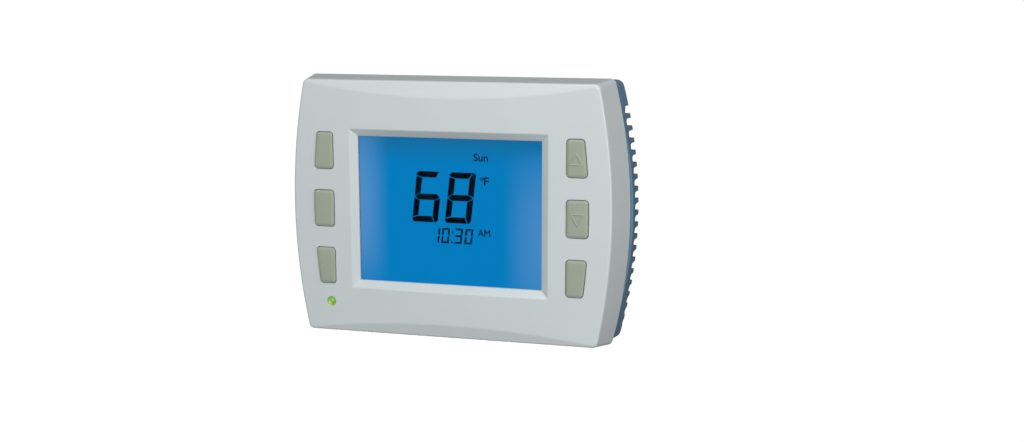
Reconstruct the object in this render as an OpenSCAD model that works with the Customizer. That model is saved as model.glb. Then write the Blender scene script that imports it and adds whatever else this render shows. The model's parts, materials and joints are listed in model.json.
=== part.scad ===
// Wall thermostat: a bulged front housing with a backlit display and six keys,
// clipped to a blue wall base that holds the terminals and the relays.
// X runs to the right as the user sees it, Z is up, and the wall is the plane y = 0.
// Every depth below is a distance in front of the wall, so a depth u lies at y = -u.

/* [Front housing] */
// Width of the front face at mid height
face_w = 141; // [130:1:155]
// Height of the front face
face_h = 110.4; // [100:0.2:122]
// How far each side bows out between the corners, at the front
face_bulge = 5.8; // [2:0.2:9]
// How much wider the housing is at its rear rim than at its front face
side_flare = 8.6; // [2:0.2:12]
// How much higher the housing reaches at its rear rim than at its front face
top_flare = 0.8; // [0.2:0.2:2]
// How much lower the housing reaches at its rear rim than at its front face
bottom_flare = 2.4; // [0.2:0.2:3]
// Extra bow of the sides at the rear rim
rear_bulge_extra = 1.4; // [0:0.1:3]
// Depth of the housing from its rear rim to the edge of the front face
housing_d = 17.5; // [15.5:0.5:24]
// How far the middle of the front face stands in front of its edge
crown = 1.7; // [0.6:0.1:3]
// Height of the sloping band along the top of the face, at its middle
top_band_h = 7.2; // [4:0.2:10]
// Height of the sloping band along the bottom of the face, at its middle
bottom_band_h = 6.0; // [4:0.2:10]
// Thickness of the side walls
wall = 2.0; // [1.6:0.1:2.6]
// Thickness of the front wall at the edge of the face
front_t = 2.0; // [1.6:0.1:2.6]
// Corner radius of the outline
corner_r = 2.6; // [1.5:0.1:6]
// Size of the softened edge round the face
edge_r = 1.0; // [0.4:0.1:1.6]

/* [Display] */
// Distance from each side of the face to the visible display
display_side = 29.9; // [28.5:0.1:36]
// Distance from the top and the bottom of the face to the visible display
display_top = 23.7; // [21:0.1:30]
// Height of the display's middle above the middle of the housing
view_z = -0.4; // [-2:0.1:2]
// Width of the bevelled frame round the display
bevel_w = 3.1; // [1.5:0.1:3.6]
// Lip between the bevel and the window
bevel_lip = 0.4; // [0.2:0.1:0.8]
// Thickness of the clear window
lens_t = 1.5; // [1:0.1:2]
// Thickness of the display cell, two sheets of glass
glass_t = 2.2; // [1.8:0.1:2.6]
// Thickness of the light guide behind the display
guide_t = 2.5; // [2:0.1:3]

/* [Keys] */
// Width of the middle keys
key_w = 9.2; // [7:0.1:10]
// Distance from the bowed side of the face to the outer side of the keys
key_margin = 9.8; // [8:0.1:11]
// Height of a key
key_h = 15.7; // [10:0.1:19]
// Distance from the top of the face to the middle of the top keys, with the keys centred
key_top = 30; // [27:0.1:33]
// Height of the middle pair of keys above the middle of the housing
key_z = -0.6; // [-3:0.1:3]
// How far a key stands proud of the face
key_proud = 0.8; // [0.2:0.1:1.2]
// Travel of a key
key_travel = 1.0; // [0.4:0.1:1.4]
// Clearance between a key and its opening
key_gap = 0.35; // [0.25:0.05:0.6]
// Corner radius of a key
key_r = 1.4; // [0.6:0.1:2.5]

/* [Status light] */
// Diameter of the light
led_d = 3.9; // [3:0.1:4.5]
// Distance of the light below the middle of the lowest left key
led_drop = 16.1; // [12.5:0.1:16.5]
// How far the light lies inwards of the middle of that key
led_in = 1.7; // [0:0.1:2.5]

/* [Wall base] */
// Depth of the wall base
base_d = 11.5; // [10.5:0.5:16]
// Thickness of the back plate
plate_t = 2.2; // [1.6:0.1:3]
// How much wider the base is than the housing's rear rim, at the wall
base_flare = 2.8; // [0:0.1:5]
// How much wider the base is than the housing's rear rim, at the seam
seam_ledge = 2.4; // [0:0.1:3.2]
// How far the base keeps inside the housing's top
top_inset = 1.2; // [0.6:0.1:2]
// How far the base keeps inside the housing's bottom
bottom_inset = 0.6; // [0.6:0.1:2]
// Extra bow of the base's sides at the wall
base_bulge_extra = 0.4; // [0:0.1:1]
// Corner radius of the base
base_corner_r = 6.5; // [3:0.5:10]
// Number of vent slots on each side
vent_count = 19; // [5:1:19]
// Distance from one vent slot to the next
vent_pitch = 5.13; // [4.4:0.01:5.3]
// Height of a vent slot
vent_h = 3.3; // [2:0.1:3.6]
// Depth of a vent slot, from the wall
vent_d = 7.4; // [4:0.1:8.4]
// How far a vent slot wraps onto the back plate
vent_wrap = 5; // [3:0.5:7]
// Height of the middle of the vent row above the middle of the base
vent_z = -2.7; // [-4:0.1:2]
// Distance between the two screws of a wall box
box_pitch = 83.3; // [80:0.1:86]
// Width of a screw slot
slot_w = 4.6; // [3.6:0.1:5.4]
// Length of a screw slot
slot_l = 9; // [6:0.5:11]
// Width of the opening for the wires
wire_w = 36; // [24:1:44]
// Height of the opening for the wires
wire_h = 26; // [16:1:26]

/* [Electronics] */
// Thickness of both circuit boards
board_t = 1.6; // [1:0.1:2]
// Height of the bosses under the base board
base_boss_h = 2.0; // [1:0.1:3]
// Number of wire terminals in each of the two blocks
poles = 6; // [3:1:6]
// Distance between two terminals
pole_pitch = 5.08; // [5:0.01:5.2]
// Height of a terminal block above its board
block_h = 9.5; // [8:0.1:10]
// Number of relays
relay_count = 5; // [2:1:5]
// Height of a relay
relay_h = 10; // [8:0.1:10.4]
// Clearance between the parts on the two boards
boards_gap = 2.2; // [1.6:0.1:3]
// Number of pins in each of the two rows of the connector
pins = 7; // [4:1:7]

/* [Hidden] */

$fn = 48;
eps = 0.01;

// Depths, as distances in front of the wall
seam_gap = 0.15;
rim_soft = 0.4;
root = 0.5;
rim_u = base_d + seam_gap;
face_u = base_d + housing_d;
inner_u = face_u - front_t;
base_board_u = plate_t + base_boss_h;
base_parts_u = base_board_u + board_t;
tallest_part = max(block_h, relay_h);
main_board_u = base_parts_u + tallest_part + boards_gap;
main_front_u = main_board_u + board_t;
lens_u = inner_u - lens_t;
polarizer_t = 0.2;
reflector_t = 0.2;
window_air = 0.4;
polarizer_u = lens_u - window_air - polarizer_t;
glass_u = polarizer_u - glass_t;
guide_u = glass_u - guide_t - 0.1;

// Display and keys, placed from the edges of the face
view_w = face_w - 2 * display_side;
view_h = face_h - 2 * display_top;
key_in_x = face_w / 2 - key_margin - key_w;
key_pitch = face_h / 2 - key_top;

// Outlines, as half widths and half heights
rear_half_w = (face_w + side_flare) / 2;
rear_half_h = (face_h + top_flare + bottom_flare) / 2;
rear_z = (top_flare - bottom_flare) / 2;
rear_bulge = face_bulge + rear_bulge_extra;
crown_radius = (pow(face_w / 2, 2) + pow(crown, 2)) / (2 * crown);
base_half_h = rear_half_h - (top_inset + bottom_inset) / 2;
base_z = rear_z - (top_inset - bottom_inset) / 2;
base_bulge = rear_bulge + base_bulge_extra;
seam_bulge = rear_bulge + seam_ledge;
side_steps = 12;
corner_steps = 6;
crown_steps = 22;

// Lips and guides that line the housing up on the base
lip_gap = 0.3;
lip_t = 1.2;
lip_root = 2;
plate_rib_t = 1.4;
plate_rib_h = 1.2;
plate_rib_l = 26;
plate_ribs = [-54, -30, 30, 54];
plate_skin = 0.8;
lip_h = 1.6;
lip_l = 96;
bump_x = 32;
bump_l = 10;
bump_w = 0.8;
bump_h = 0.2;
groove_gap = 0.3;
guide_z = 40;
guide_l = 8;
guide_foot_w = 5;
guide_tongue_w = 2.6;

// Fasteners
screw_d = 2.4;
screw_head_d = 5;
screw_head_h = 1.8;
pilot_d = 2.6;
boss_d = 6;
screw_to_side = 5.7;
screw_to_end = 3.9;
board_side_gap = 0;
board_end_gap = 2.7;
main_board_w = face_w - 2 * (face_bulge + wall + board_side_gap);
main_board_h = face_h - 2 * (wall + board_end_gap);
main_screw_x = main_board_w / 2 - screw_to_side;
main_screw_z = main_board_h / 2 - screw_to_end;
board_boss_gap = 0.1;
board_r = 2;
hole_slack = 0.6;
screw_bite = 5;

// Base board and what it carries
base_side_gap = 7.5;
wire_rim = 1.5;
base_board_w = face_w - 2 * base_side_gap;
base_board_z0 = wire_h / 2 + wire_rim + 0.5;
base_board_h = 22;
base_screw_inset = 3.4;
base_screw_x = base_board_w / 2 - base_screw_inset;
block_depth = 8;
block_gap = 1;
block_edge = 0.4;
block_w = poles * pole_pitch;
block_z = base_board_z0 + block_depth / 2 + block_edge;
relay_l = 15.4;
relay_w = 10.2;
relay_gap = 1.2;
relay_z = base_board_z0 + base_board_h - relay_w / 2 - relay_gap;
relay_step = relay_l + relay_gap;
header_to_side = 11.5;
header_x = base_board_w / 2 - header_to_side;
pin_pitch = 2.54;
pin_side = 0.64;
pin_slack = 0.1;
header_w = 5;
header_l = pins * pin_pitch + 0.6;
header_z = base_board_z0 + base_board_h / 2;
socket_h = 8.4;
socket_hole = 1.1;
socket_floor = 2.4;
pin_end = 0.8;
strip_h = 2.5;
side_part_x = 38.5;
fuse_d = 8;
fuse_h = 7.6;
rectifier_w = 8.4;
rectifier_d = 6.2;
rectifier_h = 3.3;

// Display parts
glass_side = 2.5;
glass_ledge = 4.5;
glass_step = 2.5;
guide_edge = 0.5;
guide_end = 1;
holder_t = 2.3;
holder_fit = 0.3;
lens_inset = 0.3;
glass_w = view_w + 2 * glass_side;
glass_h = view_h + 2 * glass_ledge;
guide_w = view_w + 2 * guide_edge;
guide_h = view_h + 2 * guide_end;
holder_w = glass_w + 2 * holder_t;
holder_h = glass_h + 2 * holder_t;
lens_w = holder_w - 2 * lens_inset;
lens_h = holder_h - 2 * lens_inset;
lens_r = 1;
rib_t = 1.2;
rib_gap = 0.4;
rib_step = 24;
rib_h = 2.4;

// Keys: heights of the rows, and the parts behind the face
key_rows = [key_z + key_pitch, key_z, key_z - key_pitch];
flange_t = 1.2;
flange_w = 1.1;
seat_gap = 0.1;
stem_d = 5;
led_gap = 0.15;
led_x = key_mid_x(2) - led_in;
led_z = led_drop - key_rows[2];
mat_t = 1.0;
collar_t = 1.2;
collar_gap = 0.4;
press_gap = 0.15;
contact_t = 0.05;
key_soft = 0.6;
arrow_size = 6.0;
arrow_line = 0.5;
arrow_h = 0.25;
mat_in = 3.4;
mat_out = 2.3;
mat_end = 1;
mat_r = 1.5;
mat_in_x = key_in_x - mat_in;
mat_out_x = key_in_x + key_w + mat_out;

// ---------- outlines ----------

// Half width at height z of a side that bows out by b between corners at height h
function bowed(w, h, b, z) = w - b * pow(z / h, 2);

// One quarter of a bowed outline, from the middle of the right side to the top
function quarter(w, h, b, r) =
    let (lean = atan(2 * b * (h - r) / (h * h)),
         top = h - r * (1 - sin(lean)),
         cx = bowed(w, h, b, top) - r * cos(lean))
    concat([for (i = [0:side_steps]) let (z = top * i / side_steps) [bowed(w, h, b, z), z]],
           [for (i = [1:corner_steps]) let (a = lean + (90 - lean) * i / corner_steps)
               [cx + r * cos(a), h - r + r * sin(a)]]);

function flipped(p, sx, sz) = [for (q = p) [sx * q[0], sz * q[1]]];
function reversed(p) = [for (i = [len(p) - 1:-1:0]) p[i]];
function without_first(p) = [for (i = [1:len(p) - 1]) p[i]];
function without_last(p) = [for (i = [0:len(p) - 2]) p[i]];

// A closed outline with bowed sides, straight top and bottom, and round corners
function bowed_outline(w, h, b, r) =
    let (q = quarter(w, h, b, r))
    concat(q, reversed(flipped(q, -1, 1)), without_first(flipped(q, -1, -1)),
           without_last(reversed(flipped(q, 1, -1))));

// An outline moved up by z
function raised(p, z) = [for (q = p) [q[0], q[1] + z]];

function unit(v) = v / norm(v);

// The arc that rounds the corner b between the points a and c with radius r
function rounded_corner(a, b, c, r) =
    let (u = unit(a - b), v = unit(c - b), half = acos(u * v) / 2,
         start = b + u * r / tan(half), middle = b + unit(u + v) * r / sin(half),
         from = start - middle, turn = 180 - 2 * half,
         side = cross([-u[0], -u[1], 0], [v[0], v[1], 0])[2] > 0 ? 1 : -1)
    [for (i = [0:corner_steps]) let (a = side * turn * i / corner_steps)
        middle + [from[0] * cos(a) - from[1] * sin(a), from[0] * sin(a) + from[1] * cos(a)]];

// An outline with every corner rounded
function rounded(p, r) =
    [for (i = [0:len(p) - 1])
        each rounded_corner(p[(i + len(p) - 1) % len(p)], p[i], p[(i + 1) % len(p)], r)];

// A rectangle's corners round the middle x, z
function box_points(x, z, w, h) =
    [[x - w / 2, z - h / 2], [x + w / 2, z - h / 2], [x + w / 2, z + h / 2], [x - w / 2, z + h / 2]];

// ---------- basic solids, all laid out from the wall ----------

// An outline in X and Z, made solid from depth u0 to depth u1
module plate(points, u0, u1) {
    translate([0, -u0, 0]) rotate([90, 0, 0]) linear_extrude(u1 - u0) polygon(points);
}

// A box round the middle x, z
module slab(x, z, w, h, u0, u1) {
    translate([x - w / 2, -u1, z - h / 2]) cube([w, u1 - u0, h]);
}

// A round post that stands out from the wall
module post(x, z, d, u0, u1) {
    translate([x, -u0, z]) rotate([90, 0, 0]) cylinder(d = d, h = u1 - u0);
}

// A slot with round ends, along X or Z
module slot_cut(x, z, w, l, u0, u1, upright) {
    run = l - w;
    dx = upright ? 0 : run / 2;
    dz = upright ? run / 2 : 0;
    post(x - dx, z - dz, w, u0, u1);
    post(x + dx, z + dz, w, u0, u1);
    slab(x, z, upright ? w : run, upright ? run : w, u0, u1);
}

// A self-tapping screw whose head rests on depth u and whose shank points from the wall
// (side 1) or towards it (side -1)
module tapping_screw(x, z, u, l, side) {
    head0 = side > 0 ? u - screw_head_h : u;
    shank0 = side > 0 ? u : u - l;
    difference() {
        union() {
            post(x, z, screw_head_d, head0, head0 + screw_head_h);
            post(x, z, screw_d, shank0, shank0 + l);
        }
        for (turn = [0, 90])
            translate([x, -(side > 0 ? head0 : head0 + screw_head_h), z]) rotate([0, turn, 0])
                cube([2.8, 1.6, 0.7], center = true);
    }
}

// ---------- front housing ----------

// Everything behind the crowned surface of the face
module behind_crown() {
    w = rear_half_w + 1;
    h = rear_half_h + 1;
    arc = [for (i = [-crown_steps:crown_steps]) let (x = w * i / crown_steps) [x, -face_at(x)]];
    translate([0, 0, -h]) linear_extrude(2 * h) polygon(concat([[w, 0], [-w, 0]], arc));
}

// The housing's outline at its rear rim, drawn in by inset
function rear_outline(inset) =
    raised(bowed_outline(rear_half_w - inset, rear_half_h - inset, rear_bulge, corner_r), rear_z);

// Depth of the crowned face at a distance x from the middle
function face_at(x) = face_u + crown - crown_radius + sqrt(pow(crown_radius, 2) - x * x);

// The outer form of the housing, with its edges softened; its front is cut by the crown
module housing_shell_form() {
    hull() {
        plate(rear_outline(rim_soft), rim_u, rim_u + eps);
        plate(rear_outline(0), rim_u + rim_soft, rim_u + rim_soft + eps);
        plate(bowed_outline(face_w / 2, face_h / 2, face_bulge, corner_r),
            face_u - edge_r - eps, face_u - edge_r);
        plate(bowed_outline(face_w / 2 - edge_r * 0.3, face_h / 2 - edge_r * 0.3, face_bulge, corner_r),
            face_u - edge_r * 0.3 - eps, face_u - edge_r * 0.3);
        plate(bowed_outline(face_w / 2 - edge_r, face_h / 2 - edge_r, face_bulge, corner_r),
            face_u, face_u + crown + 0.5);
    }
}

// The cavity of the housing, open at its rear rim
module housing_cavity() {
    hull() {
        plate(rear_outline(wall), rim_u - 1, rim_u);
        plate(bowed_outline(face_w / 2 - wall, face_h / 2 - wall, face_bulge, corner_r),
            inner_u - eps, inner_u);
    }
}

// The space cut away in front of the sloping band along the top (up = 1) or bottom (up = -1)
module band_cut(up, band_h) {
    tilt = atan(crown / band_h);
    translate([0, -face_u, up * face_h / 2]) rotate([-up * tilt, 0, 0])
        translate([-face_w, -20, -20]) cube([2 * face_w, 20, 40]);
}

// The bevelled recess round the display: its outer edge is straight and follows the crown
module display_recess() {
    outer_w = view_w + 2 * bevel_w;
    outer_h = view_h + 2 * bevel_w;
    floor_u = inner_u + bevel_lip;
    front_u = face_u + crown + 1;
    arc = [for (i = [-side_steps:side_steps])
        let (x = outer_w / 2 * i / side_steps) [x, -face_at(x)]];
    hull() {
        slab(0, view_z, view_w, view_h, floor_u, floor_u + eps);
        translate([0, 0, view_z - outer_h / 2]) linear_extrude(outer_h)
            polygon(concat(arc, [[outer_w / 2, -front_u], [-outer_w / 2, -front_u]]));
    }
}

// A key's outline, grown by g: its outer side follows the bowed side of the face
function key_outline(side, row, g) =
    let (z0 = key_rows[row] - key_h / 2 - g, z1 = key_rows[row] + key_h / 2 + g,
         x0 = key_in_x - g,
         low = bowed(face_w / 2, face_h / 2, face_bulge, z0) - key_margin + g,
         high = bowed(face_w / 2, face_h / 2, face_bulge, z1) - key_margin + g,
         mid = bowed(face_w / 2, face_h / 2, face_bulge, (z0 + z1) / 2) - key_margin + g)
    rounded([for (p = [[x0, z0], [low, z0], [mid, (z0 + z1) / 2], [high, z1], [x0, z1]])
        [side * p[0], p[1]]], key_r + g);

module front_housing() {
    lens_rib_w = lens_w + 2 * rib_gap;
    lens_rib_h = lens_h + 2 * rib_gap;
    color("gainsboro") {
        difference() {
            intersection() {
                housing_shell_form();
                behind_crown();
            }
            housing_cavity();
            band_cut(1, top_band_h);
            band_cut(-1, bottom_band_h);
            display_recess();
            slab(0, view_z, view_w, view_h, inner_u - 1, inner_u + bevel_lip + 1);
            for (side = [-1, 1], row = [0:2])
                plate(key_outline(side, row, key_gap), inner_u - 1, face_u + crown + 1);
            post(-led_x, -led_z, led_d + 2 * led_gap, inner_u - 1, face_u + crown + 1);
            // Grooves for the bumps on the base's lips
            for (x = [-bump_x, bump_x], sz = [-1, 1])
                slab(x, rear_z + sz * (rear_half_h - wall), bump_l + 2 * groove_gap, 2 * (bump_h + groove_gap),
                    base_d + lip_h - bump_w - groove_gap, base_d + lip_h + groove_gap);
        }
        // Ribs that locate the window
        difference() {
            slab(0, view_z, lens_rib_w + 2 * rib_t, lens_rib_h + 2 * rib_t, lens_u - 1, inner_u + root);
            slab(0, view_z, lens_rib_w, lens_rib_h, lens_u - 2, inner_u + 1);
        }
        // Bosses for the main board
        for (sx = [-1, 1], sz = [-1, 1]) difference() {
            post(sx * main_screw_x, sz * main_screw_z, boss_d, main_front_u + board_boss_gap, inner_u + root);
            post(sx * main_screw_x, sz * main_screw_z, pilot_d, main_front_u - 1, inner_u - 1.5);
        }
        // Stiffening ribs between the display and the top and bottom walls
        for (i = [-1.5:1.5], sz = [-1, 1])
            rib_to_wall(i * rib_step, sz);
    }
}

// A web on the inside of the front wall, from the window's rib to the top or bottom wall
module rib_to_wall(x, sz) {
    start = view_z * sz + lens_h / 2 + rib_gap + rib_t / 2;
    stop = face_h / 2 - wall / 2;
    slab(x, sz * (start + stop) / 2, rib_t, stop - start, inner_u - rib_h, inner_u + root);
}

// ---------- display ----------

module window_lens() {
    color("powderblue")
        plate(rounded(box_points(0, view_z, lens_w, lens_h), lens_r), lens_u, inner_u);
}

module lcd_polarizer() {
    color("steelblue")
        slab(0, view_z, guide_w, guide_h, polarizer_u, polarizer_u + polarizer_t);
}

module lcd_glass() {
    sheet = glass_t / 2;
    color("dodgerblue") {
        slab(0, view_z, glass_w, glass_h, glass_u, glass_u + sheet);
        slab(0, view_z, glass_w, glass_h - 2 * glass_step, glass_u + sheet, glass_u + glass_t);
    }
}

// The moulded frame that holds the glass and the light guide against the main board
module lcd_holder() {
    ledge = 2.4;
    well_w = glass_w + 2 * holder_fit;
    well_h = glass_h + 2 * holder_fit;
    color("white") {
        difference() {
            slab(0, view_z, holder_w, holder_h, main_front_u, lens_u);
            slab(0, view_z, well_w, well_h, main_front_u - 1, lens_u + 1);
        }
        // Short ledges under the glass at its four corners
        for (sx = [-1, 1], sz = [-1, 1])
            slab(sx * (well_w - ledge + root) / 2, view_z + sz * (well_h - ledge + root) / 2,
                ledge, ledge, main_front_u, glass_u);
    }
}

module light_guide() {
    color("aliceblue") slab(0, view_z, guide_w, guide_h, guide_u, guide_u + guide_t);
}

module reflector_sheet() {
    color("snow") slab(0, view_z, guide_w, guide_h, guide_u - reflector_t, guide_u);
}

module backlight_leds() {
    led_t = 1.2;
    led_l = 3;
    led_air = 0.2;
    color("lemonchiffon")
        for (sx = [-1, 1], row = [-1:1])
            slab(sx * ((guide_w + led_t) / 2 + led_air), view_z + row * guide_h / 3, led_t, led_l,
                main_front_u, guide_u + guide_t - led_air);
}

module zebra_strips() {
    strip_w = 1.6;
    strip_z = (guide_h + glass_h) / 4;
    color("dimgray")
        for (sz = [-1, 1])
            slab(0, view_z + sz * strip_z, view_w - 2 * strip_w, strip_w, main_front_u, glass_u);
}

// ---------- main board ----------

module main_board() {
    color("seagreen") difference() {
        plate(rounded(box_points(0, 0, main_board_w, main_board_h), board_r), main_board_u, main_front_u);
        for (sx = [-1, 1], sz = [-1, 1])
            post(sx * main_screw_x, sz * main_screw_z, screw_d + hole_slack, main_board_u - 1, main_front_u + 1);
    }
}

module main_board_screws() {
    color("silver")
        for (sx = [-1, 1], sz = [-1, 1])
            tapping_screw(sx * main_screw_x, sz * main_screw_z, main_board_u, board_t + screw_bite, 1);
}

// Chips on the rear of the main board: middle across, middle up, width, height
controller = [8, -8, 12, 12];
display_driver = [-14, -8, 6, 10];
memory = [30, -10, 4, 5];
chip_t = 1.4;
chip_lift = 0.1;
leg_pitch = 0.9;
leg_w = 0.4;
leg_reach = 0.9;

// A flat chip with legs along its two upright sides
module chip(c) {
    legs = floor(c[3] / leg_pitch - 0.5);
    slab(c[0], c[1], c[2], c[3], main_board_u - chip_lift - chip_t, main_board_u - chip_lift);
    for (side = [-1, 1], i = [0:legs - 1])
        slab(c[0] + side * (c[2] + leg_reach) / 2, c[1] + (i - (legs - 1) / 2) * leg_pitch,
            leg_reach, leg_w, main_board_u - chip_lift - chip_t / 2, main_board_u);
}

module microcontroller() {
    color("black") chip(controller);
}

module driver_chips() {
    color("black") {
        chip(display_driver);
        chip(memory);
    }
}

crystal_l = 8;
crystal_w = 3.4;
crystal_h = 1.6;
crystal_drop = 12;

// Chip resistors in two rows beside the controller
resistor_l = 2;
resistor_w = 1.25;
resistor_t = 0.5;
resistor_step = 2.6;
resistor_count = 9;

module chip_resistors() {
    x0 = controller[0] + controller[2] / 2 + leg_reach;
    color("black")
        for (i = [0:resistor_count - 1]) {
            slab(x0 + resistor_step, controller[1] + (i - resistor_count / 2) * resistor_step,
                resistor_l, resistor_w, main_board_u - resistor_t, main_board_u);
            slab(controller[0] + (i - resistor_count / 2) * resistor_step,
                controller[1] + controller[3] / 2 + resistor_step,
                resistor_w, resistor_l, main_board_u - resistor_t, main_board_u);
        }
}

module crystal() {
    color("silver")
        slab(controller[0], controller[1] - crystal_drop, crystal_l, crystal_w,
            main_board_u - crystal_h, main_board_u);
}

cell_d = 20;
cell_t = 3.2;
cell_x = -38;
// From the middle of the coin cell to the lower end of the main board
cell_to_end = 24.5;
cell_z = cell_to_end - main_board_h / 2;
clip_t = 0.4;
clip_w = 6;
clip_side = 0.5;
clip_foot = 2.8;
contact_l = 12;

module coin_cell() {
    color("gainsboro") post(cell_x, cell_z, cell_d, main_board_u - cell_t - clip_t, main_board_u - clip_t);
}

// A sprung bridge of sheet metal over the coin cell, with a foot at each side and a contact under it
module cell_clip() {
    top_u = main_board_u - cell_t - 2 * clip_t;
    reach = cell_d / 2 + clip_side;
    color("silver") {
        slab(cell_x, cell_z, 2 * (reach + clip_t), clip_w, top_u, top_u + clip_t);
        for (side = [-1, 1]) {
            slab(cell_x + side * (reach + clip_t / 2), cell_z, clip_t, clip_w, top_u, main_board_u);
            slab(cell_x + side * (reach + clip_foot / 2), cell_z, clip_foot, clip_w,
                main_board_u - clip_t, main_board_u);
        }
        slab(cell_x, cell_z + contact_l / 2 + clip_w / 4, clip_w, contact_l,
            main_board_u - clip_t, main_board_u);
    }
}

// Temperature sensor near the bottom edge, where the room's air comes in
bead_d = 2.4;
bead_lift = 3;
bead_x = 48;
bead_up = 6.5;
lead_d = 0.5;
lead_gap = 1.2;

module thermistor() {
    z = bead_up - main_board_h / 2;
    color("darkslategray") {
        translate([bead_x, bead_lift - main_board_u, z]) sphere(d = bead_d);
        for (side = [-1, 1])
            post(bead_x + side * lead_gap / 2, z, lead_d, main_board_u - bead_lift, main_board_u);
    }
}

module pin_strip() {
    color("black") difference() {
        slab(header_x, header_z, header_w, header_l, main_board_u - strip_h, main_board_u);
        pin_grid(pin_side + pin_slack, main_board_u - strip_h - 1, main_board_u + 1);
    }
}

module header_pins() {
    color("gold") pin_grid(pin_side, base_parts_u + socket_floor + pin_end, main_board_u);
}

// Square posts on the connector's two rows
module pin_grid(side, u0, u1) {
    for (column = [-0.5, 0.5], i = [0:pins - 1])
        slab(header_x + column * pin_pitch, header_z + (i - (pins - 1) / 2) * pin_pitch,
            side, side, u0, u1);
}

// ---------- status light ----------

led_back = 4;
led_flange_h = 1;
led_flange_w = 0.45;
led_out = 0.5;
leg_side = 0.5;
leg_gap = 2.54;

module status_led() {
    back_u = inner_u - led_back;
    r = led_d / 2;
    dome_h = led_d / 4;
    dome_u = face_at(led_x) + led_out - dome_h;
    ball = (r * r + dome_h * dome_h) / (2 * dome_h);
    half = asin(r / ball);
    steps = 8;
    color("limegreen") {
        // The flange, the body and the domed tip, turned as one
        translate([-led_x, 0, -led_z]) rotate([90, 0, 0]) rotate_extrude()
            polygon(concat([[0, back_u], [r + led_flange_w, back_u],
                [r + led_flange_w, back_u + led_flange_h], [r, back_u + led_flange_h]],
                [for (i = [steps:-1:0]) let (a = half * i / steps)
                    [ball * sin(a), dome_u + ball * cos(a) - ball + dome_h]]));
        for (side = [-1, 1])
            slab(-led_x + side * leg_gap / 2, -led_z, leg_side, leg_side, main_front_u, back_u + led_flange_h / 2);
    }
}

module led_spacer() {
    leg_hole = 0.8;
    color("white") difference() {
        post(-led_x, -led_z, led_d + 2 * led_flange_w, main_front_u, inner_u - led_back);
        for (side = [-1, 1])
            slab(-led_x + side * leg_gap / 2, -led_z, leg_hole, leg_hole, main_front_u - 1, inner_u);
    }
}

// ---------- keys ----------

// Middle of a key, across
function key_mid_x(row) =
    (key_in_x + bowed(face_w / 2, face_h / 2, face_bulge, key_rows[row]) - key_margin) / 2;

flange_u = inner_u - seat_gap - flange_t;
pill_u = main_front_u + contact_t + key_travel + press_gap;

// One key: a cap with softened edges, a flange that keeps it in, and a stem with its contact
module key(side, row) {
    x = side * key_mid_x(row);
    z = key_rows[row];
    top_u = face_at(key_mid_x(row)) + key_proud;
    color("darkseagreen") {
        hull() {
            plate(key_outline(side, row, 0), inner_u - seat_gap - eps, top_u - key_soft);
            plate(key_outline(side, row, -key_soft * 0.3), top_u - key_soft, top_u - key_soft * 0.3);
            plate(key_outline(side, row, -key_soft), top_u - eps, top_u);
        }
        plate(key_outline(side, row, flange_w), flange_u, inner_u - seat_gap);
        post(x, z, stem_d, pill_u, flange_u);
    }
}

module key_left_top() { key(-1, 0); }
module key_left_middle() { key(-1, 1); }
module key_left_bottom() { key(-1, 2); }
module key_right_top() { arrow_key(0, 1); }
module key_right_middle() { arrow_key(1, -1); }
module key_right_bottom() { key(1, 2); }

// A right-hand key with a raised triangle that points up (1) or down (-1)
module arrow_key(row, up) {
    x = key_mid_x(row);
    z = key_rows[row];
    top_u = face_at(x) + key_proud;
    key(1, row);
    color("darkseagreen") difference() {
        plate(triangle(x, z, arrow_size, up), top_u - eps, top_u + arrow_h);
        plate(triangle(x, z, arrow_size - 4 * arrow_line, up), top_u - 1, top_u + 1);
    }
}

// A triangle with its middle at x, z, whose corners are 0.6 of its size away
function triangle(x, z, size, up) =
    [for (a = [90, 210, 330]) [x + 0.6 * size * cos(a), z + up * 0.6 * size * sin(a)]];

// The rubber mat under one column of keys, with a collar round each stem
module keypad(side) {
    collar_u = flange_u - key_travel - press_gap;
    bore = stem_d + 2 * collar_gap;
    z1 = key_rows[0] + key_h / 2 + mat_end;
    z0 = key_rows[2] - key_h / 2 - mat_end;
    color("darkseagreen") difference() {
        union() {
            plate(rounded(box_points(side * (mat_in_x + mat_out_x) / 2, (z0 + z1) / 2,
                mat_out_x - mat_in_x, z1 - z0), mat_r), main_front_u, main_front_u + mat_t);
            for (row = [0:2])
                post(side * key_mid_x(row), key_rows[row], bore + 2 * collar_t,
                    main_front_u, collar_u);
        }
        for (row = [0:2])
            post(side * key_mid_x(row), key_rows[row], bore, main_front_u - 1, collar_u + 1);
    }
}

module keypad_left() { keypad(-1); }
module keypad_right() { keypad(1); }

module key_contacts() {
    color("gold")
        for (side = [-1, 1], row = [0:2])
            post(side * key_mid_x(row), key_rows[row], stem_d, main_front_u, main_front_u + contact_t);
}

// ---------- wall base ----------

// The lofted form of the base, drawn in by inset on all sides
module base_form(inset, u0, u1) {
    r = base_corner_r - inset / 2;
    hull() {
        plate(raised(bowed_outline(rear_half_w + base_flare / 2 - inset, base_half_h - inset,
            base_bulge, r), base_z), u0, u0 + eps);
        plate(raised(bowed_outline(rear_half_w + seam_ledge / 2 - inset, base_half_h - inset,
            seam_bulge, r), base_z), u1 - eps, u1);
    }
}

// One vent slot: it runs from the wall to a round end and wraps onto the back plate
module vent(side, z) {
    r = vent_h / 2;
    outer = bowed(rear_half_w + base_flare / 2, base_half_h, base_bulge, z - base_z);
    inner = outer - vent_wrap;
    translate([side > 0 ? inner : -inner - 20, 0, z]) {
        translate([0, -vent_d + r, 0]) rotate([0, 90, 0]) cylinder(r = r, h = 20, $fn = 32);
        translate([0, -vent_d + r, -r]) cube([20, vent_d - r + 1, vent_h]);
    }
}

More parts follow.
